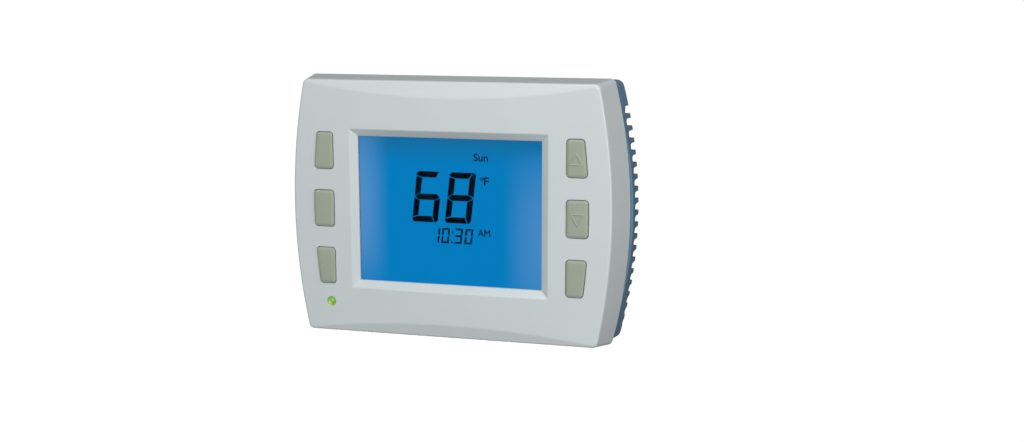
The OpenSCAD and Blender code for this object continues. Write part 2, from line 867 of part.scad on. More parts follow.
module wall_base() {
    color("steelblue") difference() {
        union() {
            difference() {
                base_form(0, 0, base_d);
                base_form(wall, plate_t, base_d + 1);
            }
            // Lips that line the housing up, along the top and the bottom
            for (sz = [-1, 1])
                lip(sz);
            // Guides that line it up from side to side
            for (side = [-1, 1], z = [-guide_z, guide_z])
                guide(side, z);
            // Bosses for the base board
            for (sx = [-1, 1], z = base_screw_z())
                post(sx * base_screw_x, z, boss_d, plate_t - eps, base_board_u);
            // Rim round the opening for the wires
            slab(0, 0, wire_w + 2 * wire_rim, wire_h + 2 * wire_rim, plate_t - eps, plate_t + plate_rib_h);
            // Stiffening ribs on the lower half of the plate
            for (x = plate_ribs)
                slab(x, (base_z - base_half_h - wire_h / 2) / 2, plate_rib_t, plate_rib_l,
                    plate_t - eps, plate_t + plate_rib_h);
        }
        slab(0, 0, wire_w, wire_h, -1, plate_t + plate_rib_h + 1);
        for (s = [-1, 1]) {
            slot_cut(0, s * box_pitch / 2, slot_w, slot_l, -1, plate_t + 1, true);
            slot_cut(s * box_pitch / 2, 0, slot_w, slot_l, -1, plate_t + 1, false);
        }
        for (sx = [-1, 1], z = base_screw_z())
            post(sx * base_screw_x, z, pilot_d, plate_skin, base_board_u + 1);
        for (side = [-1, 1], i = [0:vent_count - 1])
            vent(side, base_z + vent_z + (i - (vent_count - 1) / 2) * vent_pitch);
    }
}

// The lip along the top (1) or the bottom (-1), with two bumps that click into the housing
module lip(sz) {
    outer = rear_half_h - wall - lip_gap;
    slab(0, rear_z + sz * (outer - lip_t / 2), lip_l, lip_t, base_d - lip_root, base_d + lip_h);
    for (x = [-bump_x, bump_x])
        slab(x, rear_z + sz * outer, bump_l, 2 * bump_h, base_d + lip_h - bump_w, base_d + lip_h);
}

// A guide on a side wall: a buttress that reaches past the seam into the housing
module guide(side, z) {
    lean = side_flare / 2 * lip_h / housing_d;
    foot_out = bowed(rear_half_w, base_half_h, base_bulge, z - base_z) - 0.6;
    tongue_out = bowed(rear_half_w, rear_half_h, rear_bulge, abs(z - rear_z) + guide_l / 2)
        - wall - lip_gap - lean;
    slab(side * (foot_out - guide_foot_w / 2), z, guide_foot_w, guide_l, plate_t - eps, base_d - 1);
    slab(side * (tongue_out - guide_tongue_w / 2), z, guide_tongue_w, guide_l,
        plate_t - eps, base_d + lip_h);
}

function base_screw_z() =
    [base_board_z0 + base_screw_inset, base_board_z0 + base_board_h - base_screw_inset];

module base_board() {
    color("seagreen") difference() {
        slab(0, base_board_z0 + base_board_h / 2, base_board_w, base_board_h,
            base_board_u, base_parts_u);
        for (sx = [-1, 1], z = base_screw_z())
            post(sx * base_screw_x, z, screw_d + hole_slack, base_board_u - 1, base_parts_u + 1);
    }
}

module base_board_screws() {
    color("silver")
        for (sx = [-1, 1], z = base_screw_z())
            tapping_screw(sx * base_screw_x, z, base_parts_u, board_t + base_boss_h + 0.8, -1);
}

// Middle of a terminal, across
function pole_x(block, i) = block * (block_w + block_gap) / 2 + (i - (poles - 1) / 2) * pole_pitch;

entry_h = 3.4;
entry_w = 3.2;
entry_wall = 1;
entry_u = base_parts_u + 1.2;
driver_d = 3.8;
screw_top_u = base_parts_u + block_h - 1;
clamp_t = 0.7;
clamp_side = 0.2;
clamp_gap = 0.05;

module terminal_blocks() {
    color("forestgreen")
        for (block = [-1, 1]) difference() {
            slab(block * (block_w + block_gap) / 2, block_z, block_w, block_depth,
                base_parts_u, base_parts_u + block_h);
            for (i = [0:poles - 1]) {
                slab(pole_x(block, i), block_z - entry_wall, entry_w, block_depth,
                    entry_u, entry_u + entry_h);
                post(pole_x(block, i), block_z, driver_d, entry_u, base_parts_u + block_h + 1);
            }
        }
}

// A bent strip of metal at the bottom and the back of each wire entry
module terminal_clamps() {
    w = entry_w - 2 * clamp_side;
    back_z = block_z + block_depth / 2 - entry_wall - clamp_gap - clamp_t / 2;
    color("goldenrod")
        for (block = [-1, 1], i = [0:poles - 1]) {
            slab(pole_x(block, i), (block_z + back_z) / 2 - clamp_t, w, back_z - block_z + clamp_t,
                entry_u + clamp_gap, entry_u + clamp_gap + clamp_t);
            slab(pole_x(block, i), back_z, w, clamp_t, entry_u + clamp_gap, entry_u + entry_h - clamp_gap);
        }
}

module terminal_screws() {
    head_d = 3.4;
    head_h = 2;
    shank_d = 2.2;
    slot = 0.6;
    color("silver")
        for (block = [-1, 1], i = [0:poles - 1]) difference() {
            union() {
                post(pole_x(block, i), block_z, head_d, screw_top_u - head_h, screw_top_u);
                post(pole_x(block, i), block_z, shank_d, entry_u + entry_h / 2, screw_top_u - head_h);
            }
            slab(pole_x(block, i), block_z, head_d + 1, slot, screw_top_u - slot, screw_top_u + 1);
        }
}

module relays() {
    relay_r = 0.6;
    color("royalblue")
        for (i = [0:relay_count - 1])
            plate(rounded(box_points((i - (relay_count - 1) / 2) * relay_step, relay_z,
                relay_l, relay_w), relay_r), base_parts_u, base_parts_u + relay_h);
}

module power_capacitors() {
    can_d = 8;
    can_h = 9;
    can_gap = 0.6;
    bead_r = 0.6;
    bead_u = 1.6;
    color("midnightblue")
        for (z = [header_z - (can_d + can_gap) / 2, header_z + (can_d + can_gap) / 2]) difference() {
            post(-header_x, z, can_d, base_parts_u, base_parts_u + can_h);
            translate([-header_x, -base_parts_u - bead_u, z]) rotate([90, 0, 0])
                rotate_extrude() translate([(can_d + bead_r) / 2, 0]) circle(r = bead_r, $fn = 24);
        }
}

// The bridge rectifier, on the right of the right-hand terminal block
module rectifier() {
    color("black")
        slab(side_part_x, block_z, rectifier_w, rectifier_d, base_parts_u, base_parts_u + rectifier_h);
}

// The round fuse, on the left of the left-hand terminal block
module fuse() {
    color("saddlebrown") post(-side_part_x, block_z, fuse_d, base_parts_u, base_parts_u + fuse_h);
}

module header_socket() {
    color("black") difference() {
        slab(header_x, header_z, header_w, header_l, base_parts_u, base_parts_u + socket_h);
        pin_grid(socket_hole, base_parts_u + socket_floor, base_parts_u + socket_h + 1);
    }
}

wall_base();
base_board();
base_board_screws();
terminal_blocks();
terminal_clamps();
terminal_screws();
relays();
power_capacitors();
rectifier();
fuse();
header_socket();
front_housing();
window_lens();
lcd_polarizer();
lcd_glass();
lcd_holder();
light_guide();
reflector_sheet();
backlight_leds();
zebra_strips();
main_board();
main_board_screws();
microcontroller();
driver_chips();
chip_resistors();
crystal();
coin_cell();
cell_clip();
thermistor();
pin_strip();
header_pins();
status_led();
led_spacer();
key_contacts();
keypad_left();
keypad_right();
key_left_top();
key_left_middle();
key_left_bottom();
key_right_top();
key_right_middle();
key_right_bottom();
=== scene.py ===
"""The looks of a wall thermostat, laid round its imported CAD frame.

X runs to the right as the user sees it, Z is up, and the wall is the plane y = 0. Sizes are in
millimetres. A depth u is a distance in front of the wall, so it lies at y = -u, and a point is
written as (x, u, z) until it goes into a mesh.
"""

from __future__ import annotations

import json
import logging
import math
from collections.abc import Callable, Sequence
from dataclasses import dataclass
from enum import Enum

import bmesh
import bpy
import numpy as np
from mathutils import Matrix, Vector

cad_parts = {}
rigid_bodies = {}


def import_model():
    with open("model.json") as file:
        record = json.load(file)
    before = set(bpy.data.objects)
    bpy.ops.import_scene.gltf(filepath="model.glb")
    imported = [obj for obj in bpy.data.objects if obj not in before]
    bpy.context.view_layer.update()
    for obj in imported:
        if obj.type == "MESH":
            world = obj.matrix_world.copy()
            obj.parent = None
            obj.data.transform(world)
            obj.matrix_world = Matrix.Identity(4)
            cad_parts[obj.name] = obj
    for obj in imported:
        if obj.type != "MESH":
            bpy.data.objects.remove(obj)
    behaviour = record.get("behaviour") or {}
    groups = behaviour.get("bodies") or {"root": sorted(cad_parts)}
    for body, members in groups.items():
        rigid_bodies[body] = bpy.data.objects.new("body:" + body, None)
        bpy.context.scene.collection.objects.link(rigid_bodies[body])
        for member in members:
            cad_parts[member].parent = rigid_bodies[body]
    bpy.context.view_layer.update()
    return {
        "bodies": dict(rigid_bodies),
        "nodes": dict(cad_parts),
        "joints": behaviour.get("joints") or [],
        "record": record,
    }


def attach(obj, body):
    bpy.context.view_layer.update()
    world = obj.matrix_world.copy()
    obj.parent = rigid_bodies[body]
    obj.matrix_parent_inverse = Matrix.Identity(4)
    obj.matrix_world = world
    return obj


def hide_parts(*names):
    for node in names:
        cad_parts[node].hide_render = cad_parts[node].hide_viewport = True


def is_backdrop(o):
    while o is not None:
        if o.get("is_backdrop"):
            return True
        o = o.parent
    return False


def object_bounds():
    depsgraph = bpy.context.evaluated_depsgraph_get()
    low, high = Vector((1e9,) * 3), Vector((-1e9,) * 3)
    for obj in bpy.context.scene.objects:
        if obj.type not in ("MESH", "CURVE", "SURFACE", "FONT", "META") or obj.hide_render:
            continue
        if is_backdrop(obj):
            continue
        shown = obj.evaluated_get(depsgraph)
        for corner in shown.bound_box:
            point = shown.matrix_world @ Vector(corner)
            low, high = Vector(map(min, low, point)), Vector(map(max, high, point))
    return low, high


LOG = logging.getLogger("wall_thermostat")
MM = 0.001
LIGHT_AT = (-53.77, -41.9)  # middle of the status light, in x and z
Colour = tuple[float, float, float]
Socket = bpy.types.NodeSocket
Materials = dict[str, bpy.types.Material]


# ---------- surfaces ----------


@dataclass
class Shell:
    """A closed surface: its points as x, u, z in mm, and blocks of faces as point numbers."""

    points: np.ndarray
    faces: list[np.ndarray]

    def __add__(self, other: Shell) -> Shell:
        """Both surfaces as one, with the second one's point numbers moved on."""
        faces = self.faces + [block + len(self.points) for block in other.faces]
        return Shell(np.vstack((self.points, other.points)), faces)

    def turned(self) -> Shell:
        """The surface with its first two axes swapped, so that a form along u lies along x."""
        return Shell(self.points[:, [1, 0, 2]], self.faces)

    def piece(self, name: str) -> bpy.types.Object:
        """Makes a mesh object of the surface, with its faces outwards.

        Args:
            name: the object's name.

        Returns:
            The object, at the origin, with its place in its mesh.
        """
        mesh = bpy.data.meshes.new(name)
        points = np.column_stack((self.points[:, 0], -self.points[:, 1], self.points[:, 2])) * MM
        rows = [row for block in self.faces for row in block.tolist()]
        mesh.from_pydata(points.tolist(), [], rows)
        face_outwards(mesh)
        return new_object(name, mesh)


def new_object(name: str, data: bpy.types.ID) -> bpy.types.Object:
    """A new object in the scene.

    Args:
        name: its name.
        data: its mesh, curve, lamp or camera.

    Returns:
        The object, at the origin.
    """
    obj = bpy.data.objects.new(name, data)
    bpy.context.scene.collection.objects.link(obj)
    return obj


def merged(shells: list[Shell]) -> Shell:
    """Several surfaces as one.

    Args:
        shells: the surfaces.

    Returns:
        All of them together, in their order.
    """
    total = shells[0]
    for shell in shells[1:]:
        total = total + shell
    return total


def face_outwards(mesh: bpy.types.Mesh, gap: float = 0) -> None:
    """Turns every face of a closed mesh outwards.

    Args:
        mesh: the mesh.
        gap: points this near to each other are first made one, to close its seams.
    """
    work = bmesh.new()
    work.from_mesh(mesh)
    if gap:
        bmesh.ops.remove_doubles(work, verts=work.verts, dist=gap)
    bmesh.ops.recalc_face_normals(work, faces=work.faces)
    work.to_mesh(mesh)
    work.free()


def lattice(rings: np.ndarray, joined: bool = False) -> Shell:
    """Surface over a grid: ring i holds the points (i, j), and j runs round it.

    Point number = i * n + j. Each face joins (i, j), (i, j+1), (i+1, j+1) and (i+1, j), with j
    taken round the ring.

    Args:
        rings: points, as an array of rings by points by 3.
        joined: True if the last ring meets the first, so that the surface is a ring itself.
            Otherwise a point at the middle of the first and the last ring closes each end.

    Returns:
        The closed surface.
    """
    count, n = rings.shape[:2]
    j = np.arange(n)
    following = (j + 1) % n
    i = np.arange(count if joined else count - 1)[:, None]
    upper = (i + 1) % count
    quads = np.stack((i * n + j, i * n + following, upper * n + following, upper * n + j), -1)
    points = rings.reshape(-1, 3)
    faces = [quads.reshape(-1, 4)]
    if not joined:
        ends = np.array([rings[0].mean(0), rings[-1].mean(0)])
        points = np.vstack((points, ends))
        for end, start in ((count * n, 0), (count * n + 1, (count - 1) * n)):
            faces.append(np.stack((start + j, start + following, np.full(n, end)), -1))
    return Shell(points, faces)


def at_depth(outline: np.ndarray, depth: float | np.ndarray) -> np.ndarray:
    """An outline in x and z, placed at a depth, or at one depth for each of its points."""
    u = np.broadcast_to(np.asarray(depth, float), outline.shape[:1])
    return np.column_stack((outline[:, 0], u, outline[:, 1]))


def between(first: np.ndarray, second: np.ndarray, steps: int) -> list[np.ndarray]:
    """Rings from first, which is left out, to second: (1 - t) * first + t * second."""
    return [first + (second - first) * t for t in np.linspace(0, 1, steps + 1)[1:]]


def rounded_edge(
    start: np.ndarray, corner: np.ndarray, end: np.ndarray, steps: int
) -> list[np.ndarray]:
    """Rings of a soft edge: (1-t)^2 * start + 2t(1-t) * corner + t^2 * end.

    Args:
        start: the ring that the edge leaves, along the line to corner. It is left out.
        corner: the sharp edge, where the two faces would meet.
        end: the ring that the edge reaches, along the line from corner.
        steps: how many rings there are.

    Returns:
        The rings, the last of which is end.
    """
    t = np.linspace(0, 1, steps + 1)[1:]
    return [(1 - k) ** 2 * start + 2 * k * (1 - k) * corner + k * k * end for k in t]


def prism(outline: np.ndarray, u0: float, u1: float, soft: float = 0) -> Shell:
    """An outline made solid between two depths.

    The last ring is the outline moved towards its middle by soft over its distance from it.

    Args:
        outline: the outline, in x and z.
        u0: where it starts.
        u1: where it ends, nearer to the user.
        soft: how far its front edge is drawn in.

    Returns:
        The closed surface.
    """
    middle = outline.mean(0)
    away = outline - middle
    inset = middle + away * (1 - soft / np.linalg.norm(away, axis=1, keepdims=True))
    rings = [at_depth(outline, u0), at_depth(outline, u1 - soft)]
    if soft:
        rings.append(at_depth(inset, u1))
    return lattice(np.array(rings))


def tube(outer: np.ndarray, inner: np.ndarray, u0: float, u1: float) -> Shell:
    """The space between two outlines, made solid from depth u0 to u1."""
    rings = [at_depth(outer, u0), at_depth(outer, u1), at_depth(inner, u1), at_depth(inner, u0)]
    return lattice(np.array(rings), joined=True)


def circle(x: float, z: float, diameter: float, n: int = 32) -> np.ndarray:
    """Points on a circle: the middle plus the radius times (cos a, sin a)."""
    a = np.linspace(0, 2 * np.pi, n, endpoint=False)
    return np.column_stack((x + diameter / 2 * np.cos(a), z + diameter / 2 * np.sin(a)))


def half_circle(x: float, z: float, diameter: float) -> np.ndarray:
    """Points on the half of a circle that faces +x, from its foot to its top."""
    a = np.linspace(-np.pi / 2, np.pi / 2, 15)
    return np.column_stack((x + diameter / 2 * np.cos(a), z + diameter / 2 * np.sin(a)))


def rectangle(x: float, z: float, w: float, h: float) -> np.ndarray:
    """The four corners of a rectangle round its middle."""
    return np.array([x, z]) + np.array([[-w, -h], [w, -h], [w, h], [-w, h]]) / 2


def rounded(corners: np.ndarray, radius: float, arc: int = 5, straight: int = 4) -> np.ndarray:
    """An outline with every corner rounded, and points along its straight sides.

    For a corner between the unit vectors p, to the corner before, and q, to the next one, the
    half angle is h = acos(p.q) / 2. The arc's middle is corner + (p + q) / |p + q| * r / sin h,
    and its points turn evenly from corner + p * r / tan h to corner + q * r / tan h.

    Args:
        corners: the sharp corners, in order.
        radius: radius of every corner.
        arc: steps along each corner.
        straight: steps along each straight side.

    Returns:
        The outline's points.
    """
    p = np.roll(corners, 1, 0) - corners
    q = np.roll(corners, -1, 0) - corners
    p /= np.linalg.norm(p, axis=1, keepdims=True)
    q /= np.linalg.norm(q, axis=1, keepdims=True)
    half = np.arccos(np.clip((p * q).sum(1), -1, 1)) / 2
    across = (p + q) / np.linalg.norm(p + q, axis=1, keepdims=True)
    middle = corners + across * (radius / np.sin(half))[:, None]
    start = corners + p * (radius / np.tan(half))[:, None] - middle
    end = corners + q * (radius / np.tan(half))[:, None] - middle
    turn = np.arctan2(start[:, 0] * end[:, 1] - start[:, 1] * end[:, 0], (start * end).sum(1))
    a = turn[:, None] * np.linspace(0, 1, arc + 1)
    bend = np.stack(
        (
            start[:, :1] * np.cos(a) - start[:, 1:] * np.sin(a),
            start[:, :1] * np.sin(a) + start[:, 1:] * np.cos(a),
        ),
        -1,
    )
    bend += middle[:, None, :]
    onward = np.roll(bend[:, 0], -1, 0)[:, None, :]
    t = np.linspace(0, 1, straight + 1)[1:-1][None, :, None]
    side = bend[:, -1:] + (onward - bend[:, -1:]) * t
    return np.concatenate((bend, side), 1).reshape(-1, 2)


@dataclass(frozen=True)
class BowedForm:
    """A form with sides that bow out, a straight top and bottom, and round corners, in mm."""

    half_w: float
    half_h: float
    bulge: float
    radius: float
    mid_z: float = 0
    side_steps: int = 34
    corner_steps: int = 8
    top_steps: int = 48

    def side_at(self, z: np.ndarray | float) -> np.ndarray | float:
        """Half width at height z: half_w - bulge * ((z - mid_z) / half_h)^2."""
        return self.half_w - self.bulge * ((z - self.mid_z) / self.half_h) ** 2

    def outline(self) -> np.ndarray:
        """The outline, with the same number of points for every form.

        One quarter is the side x = side_at(z), an arc of the corner radius that leaves the
        side at its slope, and the straight top. The others are its mirror images.

        Returns:
            The points in x and z, starting at the middle of the right side and turning left.
        """
        r, h = self.radius, self.half_h
        lean = math.atan(2 * self.bulge * (h - r) / h**2)
        top = h - r * (1 - math.sin(lean))
        middle = self.side_at(top + self.mid_z) - r * math.cos(lean)
        z = np.linspace(0, top, self.side_steps + 1)
        a = np.linspace(lean, np.pi / 2, self.corner_steps + 1)[1:]
        x = np.linspace(middle, 0, self.top_steps + 1)[1:]
        quarter = np.vstack(
            (
                np.column_stack((self.side_at(z + self.mid_z), z)),
                np.column_stack((middle + r * np.cos(a), h - r + r * np.sin(a))),
                np.column_stack((x, np.full(len(x), h))),
            )
        )
        ring = np.vstack(
            (
                quarter,
                (quarter * (-1, 1))[-2::-1],
                (quarter * (-1, -1))[1:],
                (quarter * (1, -1))[-2:0:-1],
            )
        )
        return ring + (0, self.mid_z)

    def grown(self, by: float, radius_by: float = 0) -> BowedForm:
        """The same form, larger on all sides, with its radius changed.

        Args:
            by: how much larger.
            radius_by: how much is added to the radius.

        Returns:
            The new form.
        """
        return BowedForm(
            self.half_w + by, self.half_h + by, self.bulge, self.radius + radius_by, self.mid_z
        )


# ---------- finishing a mesh ----------


def carve(body: bpy.types.Object, cutters: list[Shell]) -> None:
    """Cuts closed surfaces out of a piece, and keeps the result as its mesh.

    Args:
        body: the piece that is cut.
        cutters: surfaces that don't touch each other.
    """
    cutter = merged(cutters).piece("cutter")
    cut = body.modifiers.new("cut", "BOOLEAN")
    cut.operation = "DIFFERENCE"
    cut.solver = "EXACT"
    cut.object = cutter
    mesh = evaluated_mesh(body)
    body.modifiers.clear()
    body.data = mesh
    bpy.data.objects.remove(cutter)


def evaluated_mesh(obj: bpy.types.Object) -> bpy.types.Mesh:
    """A new mesh of what an object's modifiers, or its lettering, make.

    Args:
        obj: a mesh or a text object in the scene.

    Returns:
        The mesh, on its own.
    """
    bpy.context.view_layer.update()
    done = obj.evaluated_get(bpy.context.evaluated_depsgraph_get())
    return bpy.data.meshes.new_from_object(done)


def join(body: bpy.types.Object, shells: list[Shell]) -> None:
    """Adds closed surfaces to a piece's mesh.

    Args:
        body: the piece.
        shells: the surfaces.
    """
    extra = merged(shells).piece("extra")
    work = bmesh.new()
    work.from_mesh(body.data)
    work.from_mesh(extra.data)
    work.to_mesh(body.data)
    work.free()
    bpy.data.objects.remove(extra)


def smooth(obj: bpy.types.Object, limit: float) -> None:
    """Shades a piece smooth, apart from edges sharper than limit, in degrees."""
    obj.data.shade_smooth()
    obj.data.set_sharp_from_angle(angle=math.radians(limit))


class Body(Enum):
    """The CAD bodies that pieces ride on, apart from the keys' own."""

    BASE = "base"
    FRONT = "front"


def fit(
    obj: bpy.types.Object, body: str, slot: str, material: bpy.types.Material, *nodes: str
) -> None:
    """Dresses a piece and hands it to the frame.

    Args:
        obj: the finished piece.
        body: name of the CAD body that it moves with.
        slot: the record's slot for its finish. It is not used.
        material: its material.
        nodes: the CAD nodes that it stands for.
    """
    obj.data.materials.clear()
    obj.data.materials.append(material)
    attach(obj, body)
    if nodes:
        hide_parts(*nodes)
    LOG.info("%s: %d faces, rides on %s", obj.name, len(obj.data.polygons), body)


# ---------- shader nodes ----------


@dataclass
class Graph:
    """Writes the nodes of one shader tree."""

    tree: bpy.types.NodeTree

    def add(self, kind: str, **settings: object) -> bpy.types.Node:
        """A new node.

        Args:
            kind: its type.
            settings: its plain settings.

        Returns:
            The node.
        """
        node = self.tree.nodes.new(kind)
        for name, value in settings.items():
            setattr(node, name, value)
        return node

    def put(self, value: object, socket: Socket) -> None:
        """Feeds a socket.

        Args:
            value: another socket, or a constant.
            socket: the socket that takes it.
        """
        if isinstance(value, bpy.types.NodeSocket):
            self.tree.links.new(value, socket)
        else:
            socket.default_value = value

    def math(self, operation: str, *values: object, clamp: bool = False) -> Socket:
        """The result of a Math node.

        Args:
            operation: what it does.
            values: what goes into it, as sockets or numbers.
            clamp: whether the result is kept between 0 and 1.

        Returns:
            Its output.
        """
        node = self.add("ShaderNodeMath", operation=operation, use_clamp=clamp)
        for value, socket in zip(values, node.inputs):
            self.put(value, socket)
        return node.outputs[0]

    def distance(self, x: Socket, z: Socket, middle: tuple[float, float]) -> Socket:
        """Distance from a middle, across and up: sqrt((x - x0)^2 + (z - z0)^2).

        Args:
            x: the place across.
            z: the height.
            middle: x0 and z0.

        Returns:
            The distance.
        """
        squares = [
            self.math("POWER", self.math("SUBTRACT", value, start), 2.0)
            for value, start in zip((x, z), middle)
        ]
        return self.math("SQRT", self.math("ADD", *squares))

    def ramp(
        self, value: object, low: object, high: object, start: float = 0, stop: float = 1
    ) -> Socket:
        """A value carried smoothly from one number to another.

        Args:
            value: the input.
            low: the input at which the result leaves start.
            high: the input at which it reaches stop.
            start: the first result.
            stop: the last result.

        Returns:
            The result.
        """
        node = self.add("ShaderNodeMapRange", interpolation_type="SMOOTHSTEP")
        for number, item in enumerate((value, low, high, start, stop)):
            self.put(item, node.inputs[number])
        return node.outputs[0]

    def blend(self, amount: object, first: object, second: object) -> Socket:
        """A colour between two others.

        Args:
            amount: 0 for the first, 1 for the second.
            first: a socket or a colour.
            second: a socket or a colour.

        Returns:
            The colour.
        """
        node = self.add("ShaderNodeMix", data_type="RGBA")
        self.put(amount, node.inputs["Factor"])
        colours = [socket for socket in node.inputs if socket.type == "RGBA"]
        for value, socket in zip((first, second), colours):
            self.put((*value, 1.0) if isinstance(value, tuple) else value, socket)
        return next(socket for socket in node.outputs if socket.type == "RGBA")

    def noise(self, vector: object, scale: object, detail: object, rough: object = 0.5) -> Socket:
        """The value of a noise pattern.

        Args:
            vector: the place.
            scale: waves per metre.
            detail: how many finer layers it has.
            rough: how strong they are.

        Returns:
            The value, from 0 to 1.
        """
        node = self.add("ShaderNodeTexNoise")
        self.put(vector, node.inputs["Vector"])
        self.put(scale, node.inputs["Scale"])
        self.put(detail, node.inputs["Detail"])
        self.put(rough, node.inputs["Roughness"])
        return node.outputs[0]

    def cells(
        self, vector: object, scale: object, metric: str, feature: str, loose: float
    ) -> Socket:
        """The distance that a Voronoi pattern gives.

        Args:
            vector: the place.
            scale: cells per metre.
            metric: how it measures.
            feature: which distance it gives.
            loose: how far its points stray from a square grid.

        Returns:
            The distance, in cells.
        """
        node = self.add("ShaderNodeTexVoronoi", distance=metric, feature=feature)
        self.put(vector, node.inputs["Vector"])
        self.put(scale, node.inputs["Scale"])
        self.put(loose, node.inputs["Randomness"])
        return node.outputs["Distance"]

    def place(self) -> Socket:
        """Object coordinates, in metres in the frame."""
        return self.add("ShaderNodeTexCoord").outputs["Object"]

    def mapped(
        self, vector: object, scale: tuple[float, ...], move: tuple[float, ...] = (0, 0, 0)
    ) -> Socket:
        """A vector times scale, plus move.

        Args:
            vector: the vector.
            scale: the factor along each axis.
            move: what is added after it.

        Returns:
            The new vector.
        """
        node = self.add("ShaderNodeMapping")
        self.put(vector, node.inputs["Vector"])
        self.put(scale, node.inputs["Scale"])
        self.put(move, node.inputs["Location"])
        return node.outputs[0]

    def axes(self, vector: object) -> tuple[Socket, ...]:
        """The x, y and z of a vector.

        Args:
            vector: the vector.

        Returns:
            One output for each axis.
        """
        node = self.add("ShaderNodeSeparateXYZ")
        self.put(vector, node.inputs[0])
        return tuple(node.outputs)

    def group(self, tree: bpy.types.NodeTree, **values: object) -> bpy.types.Node:
        """A node group, with its inputs filled.

        Args:
            tree: the group.
            values: what goes into each input, by its name.

        Returns:
            The group's node.
        """
        node = self.add("ShaderNodeGroup", node_tree=tree)
        for name, value in values.items():
            self.put(value, node.inputs[name])
        return node

    def bump(self, height: object, distance: float) -> Socket:
        """A normal that follows a height.

        Args:
            height: the height, from 0 to 1.
            distance: what a height of 1 stands for, in metres.

        Returns:
            The normal.
        """
        node = self.add("ShaderNodeBump")
        self.put(height, node.inputs["Height"])
        node.inputs["Distance"].default_value = distance
        node.inputs["Strength"].default_value = 1.0
        return node.outputs[0]


def new_group(name: str, inputs: dict[str, float], outputs: list[str]) -> tuple[
    bpy.types.NodeTree, Graph, bpy.types.Node, bpy.types.Node
]:
    """An empty shader node group.

    Args:
        name: the group's name.
        inputs: number inputs and their first values. A vector input "Vector" is always added.
        outputs: names of the number outputs.

    Returns:
        The group, a graph that writes in it, and its input and output nodes.
    """
    tree = bpy.data.node_groups.new(name, "ShaderNodeTree")
    tree.interface.new_socket("Vector", in_out="INPUT", socket_type="NodeSocketVector")
    for label, value in inputs.items():
        socket = tree.interface.new_socket(label, in_out="INPUT", socket_type="NodeSocketFloat")
        socket.default_value = value
    for label in outputs:
        tree.interface.new_socket(label, in_out="OUTPUT", socket_type="NodeSocketFloat")
    graph = Graph(tree)
    return tree, graph, graph.add("NodeGroupInput"), graph.add("NodeGroupOutput")


